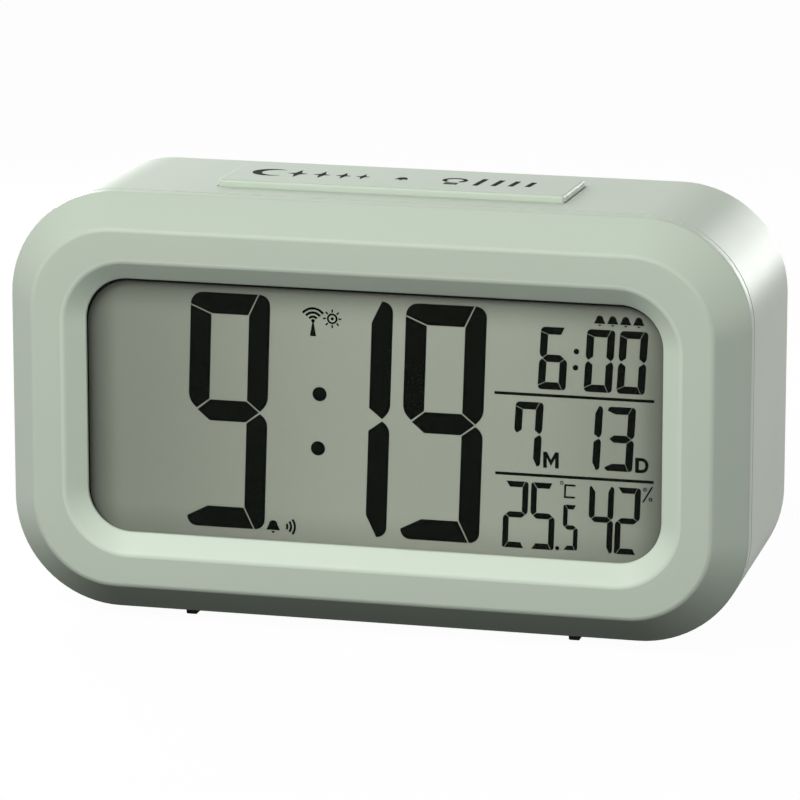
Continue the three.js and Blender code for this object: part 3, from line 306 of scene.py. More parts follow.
def housing_face(bm, depth, inset=0.0):
    """The housing's outline at a depth, with its draft, drawn in by a wall."""
    share = max(0.0, (depth - HOUSING_FRONT) / (DEPTH - HOUSING_FRONT))
    width = WIDTH - 2 * SIDE_DRAFT * share - 2 * inset
    height = HEIGHT - TOP_DRAFT * share - 2 * inset
    return rounded_loop(bm, width, height, CORNER_RADII["case"] - inset, depth, -TOP_DRAFT * share / 2)


SCREWS = ((-SCREW_X, SCREW_Z), (SCREW_X, SCREW_Z), (-SCREW_X, -SCREW_Z), (SCREW_X, -SCREW_Z))
TOWER_FRONT = 13.3
BAY_FRONT = 32.8
BAY_HALF = 26.5
BAY_BOTTOM = -30.1
BAY_TOP = 3.9
BAY_WALL = 1.5
DOOR_SEAT = 44.2
DOOR_LEDGE = 1.5
TAB_X = 13.25
BAR = {"half": 31.5, "front": 16.4, "back": 34.4, "proud": 1.26}
BAR_GAP = 0.3
POST_X = 22.0
RAIL_X = 38.0
BUTTONS_X = (-45.5, -32.5, -19.5, -6.5, 6.5, 19.5)
BUTTONS_Z = 16.35
BUTTON_NAMES = ("set", "mode", "up", "down", "alarm", "wave")
BUTTON_HOLE = 3.6
KNOB_X = 38.0
SOUND = (46.45, -11.6)
SOUND_HOLE = 0.8
SOUND_CIRCLE = 3.6
VENT = {"left": 41.95, "right": 50.95, "half": 0.7}
FEET = ((-35.3, 10.2), (35.3, 10.2), (-35.3, 36.5), (35.3, 36.5))
FOOT = (2.0, 6.0)
FOOT_GAP = 0.1

bm = bmesh.new()
rear = housing_face(bm, DEPTH)
cavity = housing_face(bm, DEPTH - WALL, WALL)
rims = [
    opened(bm, housing_face(bm, depth, inset)) for depth, inset in (
        (HOUSING_FRONT, 0.0), (HOUSING_FRONT, TONGUE["inset"]), (TONGUE["front"], TONGUE["inset"]),
        (TONGUE["front"], WALL),
    )
]
skin(bm, [list(rear.verts), *rims, list(cavity.verts)])
soften(bm, list(rear.edges), REAR_ROUNDING, 5)

fittings = bmesh.new()
for x, z in SCREWS:
    drum(fittings, 4.5, TOWER_FRONT, IN_WALL, x, z)
for wall, front in ((BAY_WALL, BAY_FRONT - BAY_WALL), (2 * BAY_WALL, DOOR_SEAT - BAY_WALL)):
    box(fittings, (-BAY_HALF - wall, front, BAY_BOTTOM - wall), (BAY_HALF + wall, IN_WALL, BAY_TOP + wall))
for x in (-53.2, 48.4):
    drum(fittings, 2.4, 37.2, IN_WALL, x, BUTTONS_Z, sides=24)
for x in (-RAIL_X, RAIL_X):
    box(fittings, (x - 2.0, 19.4, 23.7), (x + 2.0, IN_WALL, 25.5))
for x in (-POST_X, POST_X):
    for front, back, low, high in (
        (15.5, 27.5, -37.0, -32.6), (15.5, 17.4, -33.0, -28.5), (25.6, 27.5, -33.0, -28.5),
    ):
        box(fittings, (x - 1.0, front, low), (x + 1.0, back, high))
for x in (-53.35, -39.55):
    box(fittings, (x - 0.6, 39.5, -18.6), (x + 0.6, IN_WALL, -4.6))
drum(fittings, 9.5, 40.0, IN_WALL, *SOUND)
bm = carve(bm, "UNION", fittings)

cuts = bmesh.new()
for x, z in SCREWS:
    drum(cuts, 1.6, 10.0, BEHIND, x, z, sides=24)
    drum(cuts, 2.9, TOWER_FRONT + 2.0, BEHIND, x, z)
for ledge, front in ((0.0, BAY_FRONT), (DOOR_LEDGE, DOOR_SEAT)):
    box(cuts, (-BAY_HALF - ledge, front, BAY_BOTTOM - ledge), (BAY_HALF + ledge, BEHIND, BAY_TOP + ledge))
for x in (-TAB_X, TAB_X):
    box(cuts, (x - 3.3, 41.5, -34.2), (x + 3.3, 44.28, -29.6))
drum(cuts, 6.0, 45.5, BEHIND, 0.0, BAY_TOP + DOOR_LEDGE)
reach = BAR["half"] + BAR_GAP
box(cuts, (-reach, BAR["front"] - BAR_GAP, 32.5), (reach, BAR["back"] + BAR_GAP, 45.0))
for x in BUTTONS_X:
    drum(cuts, BUTTON_HOLE, INSIDE, BEHIND, x, BUTTONS_Z)
box(cuts, (KNOB_X - 2.5, INSIDE, BUTTONS_Z - 1.9), (KNOB_X + 5.5, BEHIND, BUTTONS_Z + 1.9))
drum(cuts, 8.3, 30.0, DEPTH - WALL, *SOUND)
drum(cuts, SOUND_HOLE, INSIDE, BEHIND, *SOUND, sides=20)
for i in range(6):
    turn = math.radians(60 * i)
    x, z = SOUND[0] + SOUND_CIRCLE * math.cos(turn), SOUND[1] + SOUND_CIRCLE * math.sin(turn)
    drum(cuts, SOUND_HOLE, INSIDE, BEHIND, x, z, sides=20)
for step in (-1.5, -0.5, 0.5, 1.5):
    z = SOUND[1] + 3 * step
    box(cuts, (-VENT["right"], INSIDE, z - VENT["half"]), (-VENT["left"], BEHIND, z + VENT["half"]))
reach = FOOT[0] / 2 + FOOT_GAP
for x, front in FEET:
    box(cuts, (x - reach, front - FOOT_GAP, -42.0), (x + reach, front + FOOT[1] + FOOT_GAP, -37.3))
bm = carve(bm, "DIFFERENCE", cuts)
piece("housing", bm, "case", sage, ["rear_housing"])

# Snooze bar. A bevelled key of the same ABS that lies on the slope of the housing's top, in its opening.
# A flange holds it in from below, and two posts press the switches under it. Its signs are pad-printed.
LEAN = TOP_DRAFT / (DEPTH - HOUSING_FRONT)
BAR_CORNER = 0.5
BAR_BEVEL = 0.95
FLANGE_REACH = 1.5
POST = {"radius": 2.0, "length": 2.4, "depth": 25.4, "drop": 4.2}


def onto_top(bm):
    """Leans a piece, drawn with the housing's top at height 0, onto its slope."""
    lean = Matrix.Identity(4)
    lean[2][1] = -LEAN
    lean[2][3] = HEIGHT / 2 + LEAN * (HOUSING_FRONT + FRONT)
    bmesh.ops.transform(bm, matrix=lean, verts=bm.verts)


bm = bmesh.new()
box(bm, (-BAR["half"], BAR["front"], -3.5), (BAR["half"], BAR["back"], BAR["proud"]))
upright = [edge for edge in bm.edges if abs(edge.verts[0].co.z - edge.verts[1].co.z) > 1]
soften(bm, upright, BAR_CORNER, 4)
top = max(bm.faces, key=lambda face: face.calc_center_median().z)
soften(bm, list(top.edges), BAR_BEVEL, 5)
under = bmesh.new()
reach = BAR["half"] + FLANGE_REACH
box(under, (-reach, BAR["front"] - FLANGE_REACH, -4.0), (reach, BAR["back"] + FLANGE_REACH, -2.5))
for x in (-POST_X, POST_X):
    bmesh.ops.create_cone(
        under, cap_ends=True, segments=24, radius1=POST["radius"], radius2=POST["radius"],
        depth=POST["length"], matrix=Matrix.Translation((x, FRONT + POST["depth"], MIDDLE - POST["drop"])),
    )
bm = carve(bm, "UNION", under)
onto_top(bm)
piece("snooze_key", bm, "snooze_bar", sage, ["snooze_bar"])

# Signs on the snooze bar. Dark pad-printed ink, a few hundredths of a millimetre thick: a moon and stars for
# the snooze, a small bell, and a lamp with its rays for the light.
ink = moulded(
    "pad_ink", srgb(20, 24, 21), srgb(26, 31, 27), 3.0, 0.7, 0.04, 0.3, 0.004, Specular_IOR_Level=0.03
)
INK_THICKNESS = 0.03
INK_GAP = 0.005


def outline(bm, points):
    """A flat face through points, which are an x and a y or a height."""
    bm.faces.new([bm.verts.new((x, y, 0.0)) for x, y in points])


def arc(x, y, radius, start, end, steps):
    """Points on an arc, in degrees."""
    turns = [math.radians(start + (end - start) * i / steps) for i in range(steps + 1)]
    return [(x + radius * math.cos(turn), y + radius * math.sin(turn)) for turn in turns]


def band(bm, first, second):
    """A row of faces between two lines of points."""
    for i in range(len(first) - 1):
        outline(bm, [first[i], first[i + 1], second[i + 1], second[i]])


def crescent(bm, x, y, radius, tip=52.0, bite=1.15):
    """A crescent that opens to the right, with its tips at plus and minus an angle."""
    reach, rise = radius * math.cos(math.radians(tip)), radius * math.sin(math.radians(tip))
    inner = math.hypot(reach - bite, rise)
    inner_tip = math.degrees(math.atan2(rise, reach - bite))
    band(bm, arc(x, y, radius, tip, 360 - tip, 24), arc(x + bite, y, inner, inner_tip, 360 - inner_tip, 24))


def star(bm, x, y, width, height):
    """A slim star with four points, as four kites round its middle."""
    tips = [(x + width / 2, y), (x, y + height / 2), (x - width / 2, y), (x, y - height / 2)]
    waists = [(x + i * width * 0.16, y + j * width * 0.16) for i, j in ((1, -1), (1, 1), (-1, 1), (-1, -1))]
    for i in range(4):
        outline(bm, [(x, y), waists[i], tips[i], waists[(i + 1) % 4]])


def dash(bm, x, y, turn, inner, outer, width):
    """A straight stroke that points away from a centre."""
    along, across = Vector((math.cos(turn), math.sin(turn))), Vector((-math.sin(turn), math.cos(turn)))
    centre = Vector((x, y))
    corners = [(inner, -1), (outer, -1), (outer, 1), (inner, 1)]
    outline(bm, [tuple(centre + along * reach + across * side * width / 2) for reach, side in corners])


def thicken(bm):
    """Gives flat faces the thickness of a layer of ink."""
    bmesh.ops.recalc_face_normals(bm, faces=bm.faces)
    for face in bm.faces:
        if face.normal.z < 0:
            face.normal_flip()
    bmesh.ops.delete(bm, geom=[vert for vert in bm.verts if not vert.link_faces], context="VERTS")
    made = bmesh.ops.extrude_face_region(bm, geom=bm.faces[:])
    raised = [item for item in made["geom"] if isinstance(item, bmesh.types.BMVert)]
    bmesh.ops.translate(bm, vec=(0.0, 0.0, INK_THICKNESS), verts=raised)


def printed(name, bm):
    """Ink on the bar's top: flat faces, drawn as x and depth, that lie on its slope."""
    thicken(bm)
    bmesh.ops.translate(bm, vec=(0.0, FRONT, MIDDLE + BAR["proud"] + INK_GAP), verts=bm.verts)
    onto_top(bm)
    piece(name, bm, "snooze_bar", ink)


MARK_Y = 26.2
BELL_Y = MARK_Y + 0.4
LAMP = (9.4, MARK_Y + 0.9)
bm = bmesh.new()
crescent(bm, -24.2, MARK_Y, 3.5)
for x, width, height in ((-19.4, 3.6, 7.4), (-14.9, 3.2, 6.8), (-10.9, 2.8, 6.0), (-7.3, 2.6, 5.4)):
    star(bm, x, MARK_Y, width, height)
printed("snooze_mark", bm)

bm = bmesh.new()
dome = arc(-0.1, BELL_Y, 0.85, 0, 180, 12)
band(bm, dome, [(x, BELL_Y) for x, _ in dome])
outline(bm, [(-0.95, BELL_Y), (-1.3, MARK_Y - 0.9), (1.1, MARK_Y - 0.9), (0.75, BELL_Y)])
outline(bm, [(-0.4, MARK_Y - 1.2), (-0.25, MARK_Y - 1.7), (0.05, MARK_Y - 1.7), (0.2, MARK_Y - 1.2)])
printed("bell_mark", bm)

bm = bmesh.new()
band(bm, arc(*LAMP, 2.3, -55, 235, 28), arc(*LAMP, 1.5, -55, 235, 28))
for low, high in ((-3.5, -2.8), (-2.4, -1.7)):
    outline(bm, [(8.2, MARK_Y + low), (10.6, MARK_Y + low), (10.6, MARK_Y + high), (8.2, MARK_Y + high)])
for x, reach in ((14.2, 3.5), (17.4, 3.1), (20.4, 2.7), (23.4, 2.3)):
    dash(bm, x, MARK_Y, math.radians(86), -reach, reach, 0.95)
printed("lamp_mark", bm)

# Display pane. A clear acrylic sheet, cut with rounded corners, that lies behind the bezel's slope on its
# ledge and keeps dust off the display.
PANE_SIZE = (107.4, 49.4, 9.3)
PANE_FRONT, PANE_BACK = 3.35, 4.25
pane_clear = bpy.data.materials.new("clear_acrylic")
pane_clear.use_nodes = True
tree = pane_clear.node_tree
shader = tree.nodes["Principled BSDF"]
shader.inputs["Base Color"].default_value = srgb(40, 44, 40)
shader.inputs["Specular IOR Level"].default_value = 0.5
shader.inputs["Alpha"].default_value = 0.04
coords = tree.nodes.new("ShaderNodeTexCoord")
haze = tree.nodes.new("ShaderNodeTexNoise")
haze.inputs["Scale"].default_value = 1 / (18 * MM)
tree.links.new(coords.outputs["Object"], haze.inputs["Vector"])
tree.links.new(ranged(tree, haze.outputs["Fac"], 0.04, 0.09), shader.inputs["Roughness"])

bm = bmesh.new()
front_face = rounded_loop(bm, *PANE_SIZE, PANE_FRONT)
back_face = rounded_loop(bm, *PANE_SIZE, PANE_BACK)
skin(bm, [list(front_face.verts), list(back_face.verts)])
soften(bm, list(front_face.edges), 0.1, 2)
piece("pane", bm, "case", pane_clear, ["display_window"])

# Printed border, as painted shade. A black line on the pane's back, along its edge and set a little low, so
# that it shows along the top and the left of the window: a dark band that stands in for the shade under the
# bezel's lip.
BORDER_INSIDE = (104.5, 46.1, 7.8)
BORDER_OUTSIDE = (107.0, 48.6, 9.0)
BORDER_FRONT, BORDER_BACK = 4.27, 4.31
bm = bmesh.new()
border = [
    opened(bm, rounded_loop(bm, *size, depth, rise)) for size, depth, rise in (
        (BORDER_INSIDE, BORDER_FRONT, -0.5), (BORDER_OUTSIDE, BORDER_FRONT, -0.2),
        (BORDER_OUTSIDE, BORDER_BACK, -0.2), (BORDER_INSIDE, BORDER_BACK, -0.5),
    )
]
skin(bm, border, closed=True)
# The band's black is painted shade, where the lip shades the display.
painted_shade_border = moulded(
    "painted_shade_band", srgb(16, 18, 15), srgb(13, 15, 12), 5.0, 0.55, 0.03, 0.3, 0.003, Specular_IOR_Level=0.1
)
piece("pane_painted_shade_band", bm, "case", painted_shade_border)

# Liquid crystal glass. Two thin sheets with a grey-green polariser in front and a reflector behind. Its
# colour is painted darker along its edges, painted shade where the bezel shades it, and it lies in the
# carrier behind the pane.
LCD_FRONT, LCD_BACK = 4.5, 6.7
LCD_HALF = (55.0, 26.0)
SHADED_HALF = (52.5, 23.4)
lcd_film = moulded(
    "lcd_polariser", srgb(184, 191, 174), srgb(181, 188, 171), 22.0, 0.45, 0.02, 0.12, 0.003,
    Specular_IOR_Level=0.08,
)
tree = lcd_film.node_tree
shader = tree.nodes["Principled BSDF"]
film = tree.nodes.new("ShaderNodeTexCoord")
axes = tree.nodes.new("ShaderNodeSeparateXYZ")
tree.links.new(film.outputs["Object"], axes.inputs["Vector"])
# Painted shade, soft from each edge inwards: axis, edge, where it ends, and how dark it is at the edge.
shades = [
    ranged(tree, axes.outputs[axis], darkest, 1.0, edge * MM, clear * MM, "SMOOTHSTEP")
    for axis, edge, clear, darkest in (
        ("X", -SHADED_HALF[0], -46.0, 0.42), ("X", -SHADED_HALF[0], 4.0, 0.68),
        ("X", SHADED_HALF[0], 46.0, 0.5), ("X", SHADED_HALF[0], 24.0, 0.76),
        ("Z", MIDDLE + SHADED_HALF[1], MIDDLE + 16.5, 0.55),
        ("Z", MIDDLE - SHADED_HALF[1], MIDDLE - 17.0, 0.8),
    )
]
shade = shades[0]
for other in shades[1:]:
    shade = combined(tree, "MULTIPLY", shade, other)
# The painted shade mixes the film's own tone towards black.
tone = shader.inputs["Base Color"].links[0].from_socket
shaded = tree.nodes.new("ShaderNodeMix")
shaded.data_type = "RGBA"
shaded.blend_type = "MIX"
shaded.inputs["A"].default_value = srgb(0, 0, 0)
tree.links.new(shade, shaded.inputs["Factor"])
tree.links.new(tone, shaded.inputs["B"])
tree.links.new(shaded.outputs["Result"], shader.inputs["Base Color"])

bm = bmesh.new()
box(bm, (-LCD_HALF[0], LCD_FRONT, -LCD_HALF[1]), (LCD_HALF[0], LCD_BACK, LCD_HALF[1]))
soften(bm, bm.edges[:], 0.1, 1)
piece("lcd_glass", bm, "case", lcd_film, ["lcd_panel"])

# Figures of the display. Liquid crystal that has turned dark between the two sheets: strokes with fine
# mitred gaps, in five sizes, all leaning a little to the right.
figure_dark = moulded(
    "lcd_figure", srgb(9, 12, 7), srgb(7, 9, 5), 12.0, 0.5, 0.02, 0.2, 0.002, Specular_IOR_Level=0.02,
)
LIT = {
    "0": "abcdef", "1": "bc", "2": "abdeg", "3": "abcdg", "4": "bcfg", "5": "acdfg", "6": "acdefg",
    "7": "abcf", "9": "abcdfg",
}
FIGURE_SIZES = {
    "time": {"width": 14.76, "height": 43.06, "stroke": 4.03, "gap": 0.21, "lean": 0.032},
    "alarm": {"width": 5.1, "height": 11.3, "stroke": 1.42, "gap": 0.09, "lean": 0.055},
    "date": {"width": 5.1, "height": 11.65, "stroke": 1.42, "gap": 0.09, "lean": 0.055},
    "climate": {"width": 4.5, "height": 12.2, "stroke": 1.14, "gap": 0.09, "lean": 0.03},
    "tenths": {"width": 2.8, "height": 8.3, "stroke": 0.88, "gap": 0.08, "lean": 0.03},
}
RULE_HALF = 0.26
FIGURES = (
    ("time", "9", -26.6, -0.24), ("time", "1", -4.28, -0.24), ("time", "9", 12.6, -0.24),
    ("alarm", "6", 32.4, 12.65), ("alarm", "0", 40.6, 12.65), ("alarm", "0", 46.45, 12.65),
    ("date", "7", 27.95, -1.17), ("date", "1", 38.55, -1.17), ("date", "3", 44.4, -1.17),
    ("climate", "2", 25.75, -15.9), ("climate", "5", 30.65, -15.9), ("tenths", "5", 35.65, -17.65),
    ("climate", "4", 41.1, -15.85), ("climate", "2", 45.85, -15.85),
)


def stroke_corners(name, outer, inner, half, s):
    """The corners of one stroke, each with the rounding of that corner."""
    hole = half - s
    return {
        "a": [(-outer, hole + 0.41 * s, 0), (-inner, hole, 0), (inner, hole, 0), (inner + 0.45 * s, half, 0),
              (-outer, half, 0.57 * s)],
        "b": [(inner, hole, 0), (inner, 0.5 * s, 0), (inner + 0.63 * s, 0, 0), (outer, 0.39 * s, 0.3 * s),
              (outer, half, 0.53 * s), (inner + 0.45 * s, half, 0)],
        "c": [(inner, -0.5 * s, 0), (inner, -hole, 0), (inner + 0.51 * s, -half, 0), (outer, -half, 0.47 * s),
              (outer, -0.32 * s, 0.28 * s), (inner + 0.63 * s, -0.03 * s, 0)],
        "d": [(-inner, -hole, 0), (-outer + 0.05 * s, 0.5 * s - half, 0),
              (-outer + 0.05 * s, -half, 0.48 * s), (inner + 0.51 * s, -half, 0), (inner, -hole, 0)],
        "e": [(-inner, -hole, 0), (-inner, -0.5 * s, 0), (-inner - 0.6 * s, -0.03 * s, 0),
              (-outer, -0.4 * s, 0.3 * s), (-outer, 0.5 * s - half, 0)],
        "f": [(-inner, hole, 0), (-outer, hole + 0.41 * s, 0), (-outer, 0.42 * s, 0.32 * s),
              (-inner - 0.6 * s, 0.04 * s, 0), (-inner, 0.5 * s, 0)],
        "g": [(-inner, 0.5 * s, 0), (-inner - 0.6 * s, 0, 0), (-inner, -0.5 * s, 0), (inner, -0.5 * s, 0),
              (inner + 0.63 * s, 0, 0), (inner, 0.5 * s, 0)],
    }[name]


def plain_corners(name, outer, inner, half, s):
    """The corners of one stroke of the smaller figures, whose left corners are cut straight through."""
    hole = half - s
    cut = -outer + 0.3 * s
    return {
        "a": [(cut, half, 0), (-inner, hole, 0), (inner, hole, 0), (inner + 0.45 * s, half, 0)],
        "d": [(-inner, -hole, 0), (cut, -half, 0), (inner + 0.51 * s, -half, 0), (inner, -hole, 0)],
        "e": [(-inner, -hole, 0), (-inner, -0.5 * s, 0), (-inner - 0.6 * s, -0.03 * s, 0),
              (-outer, -0.4 * s, 0.3 * s), (-outer, 0.25 * s - half, 0), (cut, -half, 0)],
        "f": [(-inner, hole, 0), (cut, half, 0), (-outer, half - 0.25 * s, 0), (-outer, 0.42 * s, 0.32 * s),
              (-inner - 0.6 * s, 0.04 * s, 0), (-inner, 0.5 * s, 0)],
    }.get(name) or stroke_corners(name, outer, inner, half, s)


def add_stroke(bm, corners, gap, x, z, lean):
    """One dark stroke, drawn flat, with rounded corners, drawn in by half a gap."""
    verts = [bm.verts.new((px, pz, 0.0)) for px, pz, _ in corners]
    face = bm.faces.new(verts)
    known = set(bm.faces) - {face}
    for vert, (_, _, radius) in zip(verts, corners):
        if radius:
            bmesh.ops.bevel(
                bm, geom=[vert], offset=radius, segments=6, profile=0.5, affect="VERTICES", material=-1
            )
    face = next(f for f in bm.faces if f not in known)
    face.normal_update()
    made = bmesh.ops.inset_individual(bm, faces=[face], thickness=gap / 2, use_even_offset=True)
    bmesh.ops.delete(bm, geom=made["faces"], context="FACES")
    shear = Matrix.Identity(4)
    shear[0][1] = lean
    bmesh.ops.transform(bm, matrix=Matrix.Translation((x, z, 0.0)) @ shear, verts=face.verts)


def disc(bm, x, z, radius, sides=24):
    """A round dot, drawn flat."""
    bmesh.ops.create_circle(
        bm, cap_ends=True, segments=sides, radius=radius, matrix=Matrix.Translation((x, z, 0.0))
    )


def lit(name, bm):
    """Flat faces, drawn as x and height, that stand on the display's glass."""
    thicken(bm)
    stand = Matrix.Translation((0.0, FRONT + LCD_FRONT - INK_GAP, MIDDLE)) @ FACING_FRONT
    bmesh.ops.transform(bm, matrix=stand, verts=bm.verts)
    piece(name, bm, "case", figure_dark)


bm = bmesh.new()
for size, value, x, z in FIGURES:
    form = FIGURE_SIZES[size]
    outer, half, stroke = form["width"] / 2, form["height"] / 2, form["stroke"]
    shape = plain_corners if size in ("climate", "tenths") else stroke_corners
    for name in LIT[value]:
        corners = shape(name, outer, outer - stroke, half, stroke)
        add_stroke(bm, corners, form["gap"], x, z, form["lean"])
for x, z, radius in (
    (-9.77, 3.8, 1.3), (-10.1, -6.1, 1.3), (36.5, 14.12, 0.5), (36.35, 11.22, 0.5), (33.33, -21.54, 0.37),
):
    disc(bm, x, z, radius)
for left, right, z in ((21.9, 50.4, 5.95), (22.1, 50.45, -8.55)):
    low, high = z - RULE_HALF, z + RULE_HALF
    outline(bm, [(left, low), (right, low), (right, high), (left, high)])
lit("lcd_figures", bm)

# Small signs of the display, dark like its figures: the aerial and the sun at the top, the bells of the two
# alarms, and the marks of the units, drawn as plain strokes.


def ring(bm, x, z, radius, width, start=0, end=360, steps=24):
    """A band along an arc, as a row of faces."""
    inside = arc(x, z, radius - width / 2, start, end, steps)
    outside = arc(x, z, radius + width / 2, start, end, steps)
    for i in range(steps):
        outline(bm, [inside[i], outside[i], outside[i + 1], inside[i + 1]])


def bell(bm, x, z, size):
    """A small bell with its clapper."""
    dome = arc(x, z + 0.1 * size, 0.36 * size, 0, 180, 12)
    outline(bm, dome + [(x - 0.58 * size, z - 0.36 * size), (x + 0.58 * size, z - 0.36 * size)])
    outline(bm, arc(x, z - 0.45 * size, 0.15 * size, 180, 360, 8))


AERIAL_X = -10.92
SUN = (-7.42, 17.55)
bm = bmesh.new()
for radius in (0.85, 1.6, 2.35):
    ring(bm, AERIAL_X, 16.9, radius, 0.42, 38, 142, 12)
disc(bm, AERIAL_X, 17.0, 0.34, 12)
outline(bm, [(-11.5, 14.25), (-10.36, 14.25), (-10.85, 17.0), (-11.0, 17.0)])
ring(bm, *SUN, 0.8, 0.34)
disc(bm, *SUN, 0.28, 12)
for i in range(8):
    dash(bm, *SUN, i * math.pi / 4, 1.14, 1.66, 0.28)
ring(bm, 34.05, -9.63, 0.26, 0.14, steps=16)
for x in (40.6, 42.9, 45.2, 47.5):
    bell(bm, x, 19.95, 1.75)
bell(bm, -18.4, -20.8, 2.2)
for radius in (0.8, 1.5, 2.2):
    ring(bm, -16.6, -20.8, radius, 0.4, -38, 38, 10)
lit("lcd_signs", bm)

bm = bmesh.new()
for left, right in ((30.7, 31.36), (32.84, 33.5)):
    outline(bm, [(left, -7.1), (right, -7.1), (right, -4.2), (left, -4.2)])
for side in (-1, 1):
    foot, head = 32.1, 32.1 + side * 0.74
    outline(bm, [(foot, -6.75), (head, -5.3), (head, -4.2), (foot, -5.6)])
outline(bm, [(47.13, -7.0), (47.8, -7.0), (47.8, -4.3), (47.13, -4.3)])
band(bm, *[
    [
        (47.8, top), *arc(48.25, -5.55, radius, 90, 0, 8), *arc(48.25, -5.75, radius, 0, -90, 8),
        (47.8, bottom),
    ] for radius, top, bottom in ((1.25, -4.3, -7.0), (0.67, -4.88, -6.42))
])
ring(bm, 48.93, -9.95, 0.25, 0.19, steps=16)
ring(bm, 49.92, -11.7, 0.25, 0.19, steps=16)
outline(bm, [(48.43, -12.25), (48.76, -12.25), (50.38, -9.4), (50.05, -9.4)])
band(
    bm, [(36.52, -9.85), (34.54, -9.85), (34.46, -12.35), (36.45, -12.35)],
    [(36.52, -10.18), (34.87, -10.18), (34.8, -12.02), (36.45, -12.02)],
)
lit("lcd_units", bm)

# Display carrier, light guide and connector. White plastic, clear acrylic and striped rubber: the carrier
# holds the glass and the guide, the lamps shine in from the right end, and the rubber joins glass and board.
white_plastic = moulded(
    "white_plastic", srgb(232, 232, 226), srgb(226, 226, 219), 15.0, 0.5, 0.04, 0.2, 0.006
)
guide_acrylic = moulded(
    "guide_acrylic", srgb(226, 233, 229), srgb(219, 227, 223), 10.0, 0.18, 0.03, 0.5, 0.004
)
black_plastic = moulded("black_plastic", srgb(34, 35, 34), srgb(28, 29, 28), 6.0, 0.42, 0.05, 0.2, 0.006)
soft_black = moulded("connector_rubber", srgb(50, 50, 49), srgb(42, 42, 42), 2.0, 0.8, 0.05, 0.25, 0.01)


def dress(material, *names):
    """Gives the named solids of the clock their finish."""
    for name in names:
        mesh = nodes[name].data
        mesh.materials.clear()
        mesh.materials.append(material)


dress(white_plastic, "display_carrier", "climate_sensor")
dress(guide_acrylic, "light_guide")
dress(soft_black, "rubber_connector")

# Circuit boards. Glass-fibre board under green lacquer, with paler tracks that show through it. The main
# board is screwed to the carrier, and the button and snooze boards sit on posts and rails of the housing.
board_green = moulded("board_lacquer", srgb(38, 96, 52), srgb(33, 84, 46), 9.0, 0.34, 0.05, 0.4, 0.006)
tree = board_green.node_tree
shader = tree.nodes["Principled BSDF"]
tracks = tree.nodes.new("ShaderNodeTexBrick")
tracks.inputs["Scale"].default_value = 1 / (5 * MM)
tracks.inputs["Color1"].default_value = srgb(38, 96, 52)
tracks.inputs["Color2"].default_value = srgb(33, 84, 46)
tracks.inputs["Mortar"].default_value = srgb(78, 138, 78)
tracks.inputs["Mortar Size"].default_value = 0.04
flat = tree.nodes.new("ShaderNodeMapping")
flat.inputs["Rotation"].default_value = (math.radians(90), 0.0, 0.0)
coords = tree.nodes.new("ShaderNodeTexCoord")
tree.links.new(coords.outputs["Object"], flat.inputs["Vector"])
tree.links.new(flat.outputs["Vector"], tracks.inputs["Vector"])
tree.links.new(tracks.outputs["Color"], shader.inputs["Base Color"])
dress(board_green, "main_board", "radio_board", "button_board", "snooze_board", "backlight_board")

# Parts on the boards. Black epoxy over the controller, moulded switch bodies, a drawn metal can for the
# quartz and a plated cover on the alarm switch, all soldered down. The sounder lies behind its holes.
steel = moulded(
    "plated_steel", srgb(186, 188, 191), srgb(174, 177, 181), 3.0, 0.32, 0.06, 0.25, 0.006, Metallic=1.0
)
dress(black_plastic, "controller_chip", "buzzer", "snooze_switch_left", "snooze_switch_right")
dress(black_plastic, *[f"{name}_button_switch" for name in BUTTON_NAMES])
dress(steel, "clock_crystal", "alarm_switch_body")

# Radio aerial. A sintered ferrite rod in two cradles of the housing, with a lacquered copper coil wound
# round its middle, whose turns lie side by side.
ferrite = moulded("ferrite", srgb(62, 62, 64), srgb(50, 50, 53), 2.0, 0.6, 0.08, 0.3, 0.02)
copper = moulded(
    "copper_winding", srgb(186, 112, 62), srgb(168, 98, 52), 2.5, 0.36, 0.05, 0.3, 0.01, Metallic=0.9
)
tree = copper.node_tree
turns = tree.nodes.new("ShaderNodeTexWave")
turns.wave_type = "BANDS"
turns.bands_direction = "X"
turns.inputs["Scale"].default_value = 1 / (1.2 * MM)
coords = tree.nodes.new("ShaderNodeTexCoord")
tree.links.new(coords.outputs["Object"], turns.inputs["Vector"])
coil_bump = next(node for node in tree.nodes if node.bl_idname == "ShaderNodeBump")
tree.links.new(turns.outputs["Fac"], coil_bump.inputs["Height"])
coil_bump.inputs["Distance"].default_value = 0.05 * MM
dress(ferrite, "ferrite_rod")
dress(copper, "aerial_coil")

# Screws. Plated steel pan heads with one slot. Four hold the case from behind, in deep wells, and the others
# hold the carrier, the main board and the button board.
for holder, ends in (
    ("case", ("upper_left", "upper_right", "lower_left", "lower_right")),
    ("carrier", ("upper_left", "upper_right", "lower_left", "lower_right")),
    ("main_board", ("left", "right")), ("button_board", ("left", "right")),
):
    dress(steel, *[f"{holder}_screw_{end}" for end in ends])

# Feet. Four strips of soft dark rubber, pressed into seats under the housing, that stand in one plane.
foot_rubber = moulded("foot_rubber", srgb(52, 54, 50), srgb(44, 46, 43), 1.5, 0.78, 0.06, 0.3, 0.02)
FOOT_TOP = -37.4
for name, (x, front) in zip(("front_left", "front_right", "rear_left", "rear_right"), FEET):
    bm = bmesh.new()
    box(bm, (x - FOOT[0] / 2, front, -MIDDLE), (x + FOOT[0] / 2, front + FOOT[1], FOOT_TOP))
    sole = min(bm.faces, key=lambda face: face.calc_center_median().z)
    soften(bm, list(sole.edges), 0.35, 4)
    piece(f"pad_{name}", bm, "case", foot_rubber, [f"foot_{name}"])

